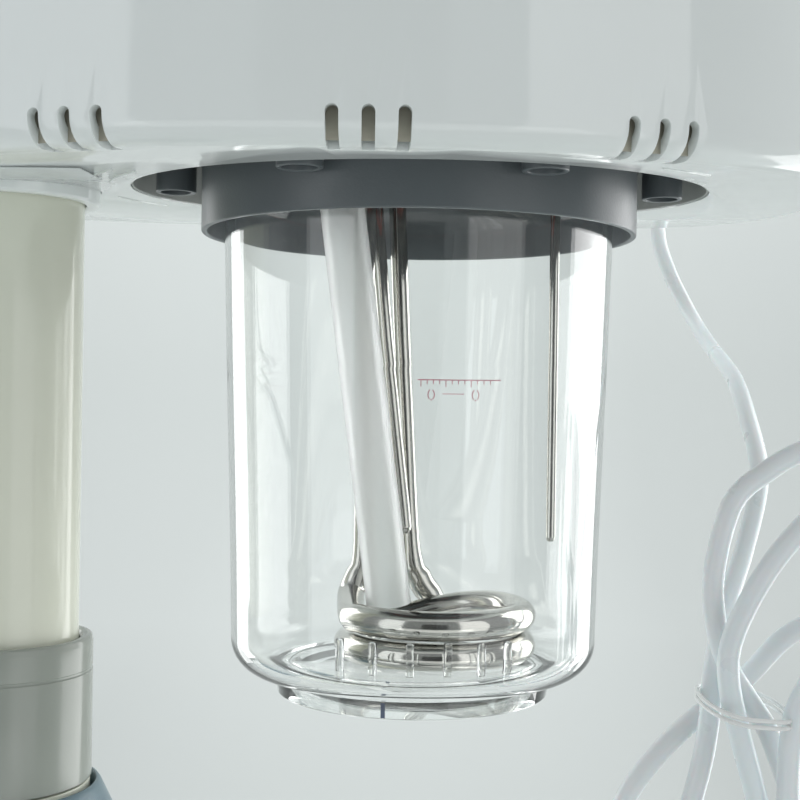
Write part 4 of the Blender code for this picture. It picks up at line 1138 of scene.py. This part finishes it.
def nozzle(lean):
    root = PIVOT + ARM * 201.8
    out = Vector((0, -1, -0.12)).normalized()
    level = along(out)
    knee = root + ARM * 26
    sleeve = lathe([(11.4, 27), (16, 27), (16, 0.4, 0.8), (11.4, 0.4)], 112, True, 0.5)
    body = bmesh.new()
    merged(body, sleeve, root, lean)
    for n in range(6):
        grip = lathe([(15.8, 0.8), (16.5, 0.4), (16.5, -0.4), (15.8, -0.8), (15, 0)], 96, True, 0.2)
        merged(body, grip, root + ARM * (4.5 + 2.8 * n), lean)
    ball = bmesh.new()
    bmesh.ops.create_uvsphere(ball, u_segments=96, v_segments=48, radius=17.5)
    ball = carved(ball, [cylinder_tool(12, 2, 40, 0, 0, 64, level), cylinder_tool(9, -40, 3, 0, 0, 64, lean)])
    merged(body, ball, knee)
    spout = lathe(
        [
            (12.1, 10), (15.6, 5.5), (17, 8, 4), (20.4, 17, 8), (24, 26, 6), (25, 33.6, 0.8),
            (24.4, 36, 0.8), (23.2, 36, 0.5),
            (22.2, 31, 2), (18.0, 21, 3), (13.0, 14, 2),
        ],
        128, True, 0.6, 4,
    )
    merged(body, spout, knee, level)
    piece("nozzle", body, "nozzle", "white_shell", replaces=("steam_nozzle",))
    grille = ring(16.4, 14.0, 30.7, 33.3, 96, 0.6)
    bars(grille, [math.pi * n / 3 for n in range(3)], 0, 32, (29.4, 1.9, 1.9), 0.5, 3)
    merged(grille, lathe([(0, 34), (4.6, 33.8), (5.2, 33), (5.2, 31), (0, 30.6)], 48, False, 0.5))
    bars(grille, evenly(3, 0.5), 18.6, 32, (6.4, 1.9, 1.6), 0.4)
    piece("grille", grille, "nozzle", "slate_nut", knee, level, ("nozzle_grille",))


def underside_marks():
    """A blank rating label and the moulded drain grooves of the underside."""
    plate = slab((44, 26, 0.3), 0.12, 2)
    bmesh.ops.translate(plate, vec=(-110, -45, -0.2), verts=plate.verts)
    for vert in plate.verts:
        vert.co.z += SLOPE * vert.co.y
    piece("rating_plate", plate, "head", "label", AXIS)
    lines = bmesh.new()
    for r, first, last in ((97.5, 203, 214), (95, 152, 170), (95.5, -52, -40), (91, 196, 214)):
        path = []
        for n in range(25):
            p = polar(r, math.radians(first + (last - first) * n / 24))
            path.append(Vector((p.x, p.y, SLOPE * p.y)))
        merged(lines, tube(path, 0.4, 8))
    piece("moulding_lines", lines, "head", "white_shell", AXIS)


def carried_over():
    """The frame's own solids that stay: each takes its slot's material."""
    for entry in frame["record"]["subparts"]:
        obj = frame["nodes"][entry["node"]]
        for place in range(len(obj.material_slots)):
            obj.material_slots[place].material = M[entry["material_slot"]]


pole()
base()
casters()
controls()
arm()
underside_marks()
carried_over()


# ---------------------------------------------------------------- studio
def backdrop():
    """A pale floor, a little darker, that sweeps up into a wall."""
    curve = [math.pi / 2 * n / 16 for n in range(1, 17)]
    profile = [(-2600, 0), (900, 0)]
    profile += [(900 + 700 * math.sin(a), 700 - 700 * math.cos(a)) for a in curve]
    profile += [(1600, 2600)]
    bm = bmesh.new()
    rows = [[bm.verts.new((x, y, z - 0.6)) for x in (-3000, 3000)] for y, z in profile]
    for first, second in zip(rows, rows[1:]):
        bm.faces.new((first[0], first[1], second[1], second[0]))
    obj = linked("sweep", new_mesh("sweep", moved(bm, TO_METRES)))
    made, tree, shader = nodes_of("paper")
    where = add(tree, "ShaderNodeTexCoord").outputs["Generated"]
    height = add(tree, "ShaderNodeSeparateXYZ", Vector=where).outputs["Z"]
    rise = spread(tree, height, 0.0, 1.0, 0.02, 0.13)
    shade = blended(tree, rise, (0.58, 0.61, 0.60), (0.71, 0.742, 0.732))
    put(tree, shader, Base_Color=shade, Roughness=0.9, Specular_IOR_Level=0.1)
    obj.data.materials.append(made)


def dark_card():
    """A black panel far in front, which gives the steel and the glass something dark to mirror."""
    bm = bmesh.new()
    bm.faces.new([bm.verts.new((x, -1.7, z)) for x, z in ((-0.36, 0.2), (0.52, 0.2), (0.52, 1.35), (-0.36, 1.35))])
    obj = linked("dark_card", new_mesh("dark_card", bm))
    obj.data.materials.append(M["black_rubber"])
    obj.visible_camera = False


def softbox(name, azimuth, distance, height, width, tall, watts, tint=(1, 1, 1), aim=None):
    """A rectangular light round the jar: azimuth in degrees from the front towards +X."""
    a = math.radians(azimuth)
    data = bpy.data.lights.new(name, "AREA")
    data.shape = "RECTANGLE"
    data.size = width
    data.size_y = tall
    data.energy = watts
    data.color = tint
    place = Vector((JAR_X * MM + distance * math.sin(a), -distance * math.cos(a), height))
    target = Vector(aim or (JAR_X * MM, 0, height))
    obj = linked(name, data)
    obj.location = place
    obj.rotation_euler = (target - place).to_track_quat("-Z", "Y").to_euler()
    obj.visible_camera = False


def studio():
    backdrop()
    dark_card()
    softbox("right_front", 44, 1.10, 0.78, 0.66, 1.5, 3.2)
    softbox("left_front", -51, 1.10, 0.78, 0.56, 1.5, 3.2, (0.95, 0.98, 1.0))
    softbox("right_rear", 120, 1.10, 0.80, 0.85, 1.6, 12.5)
    softbox("left_rear", -126, 1.15, 0.80, 0.6, 1.5, 7)
    softbox("above", 0, 0.4, 2.1, 1.8, 1.8, 5, aim=(JAR_X * MM, 0.1, 0))
    softbox("wall_wash", 180, 0.55, 1.75, 2.4, 0.8, 14, aim=(0, 1.6, 0.7))
    softbox("floor_bounce", 0, 0.75, 0.04, 1.6, 0.7, 2.7, aim=(JAR_X * MM, 0, 0.75))
    world = bpy.data.worlds.new("room")
    world.use_nodes = True
    put(world.node_tree, world.node_tree.nodes["Background"], Color=(0.83, 0.88, 0.90, 1), Strength=0.35)
    scene.world = world
    scene.view_settings.view_transform = "Standard"
    scene.view_settings.look = "None"


studio()
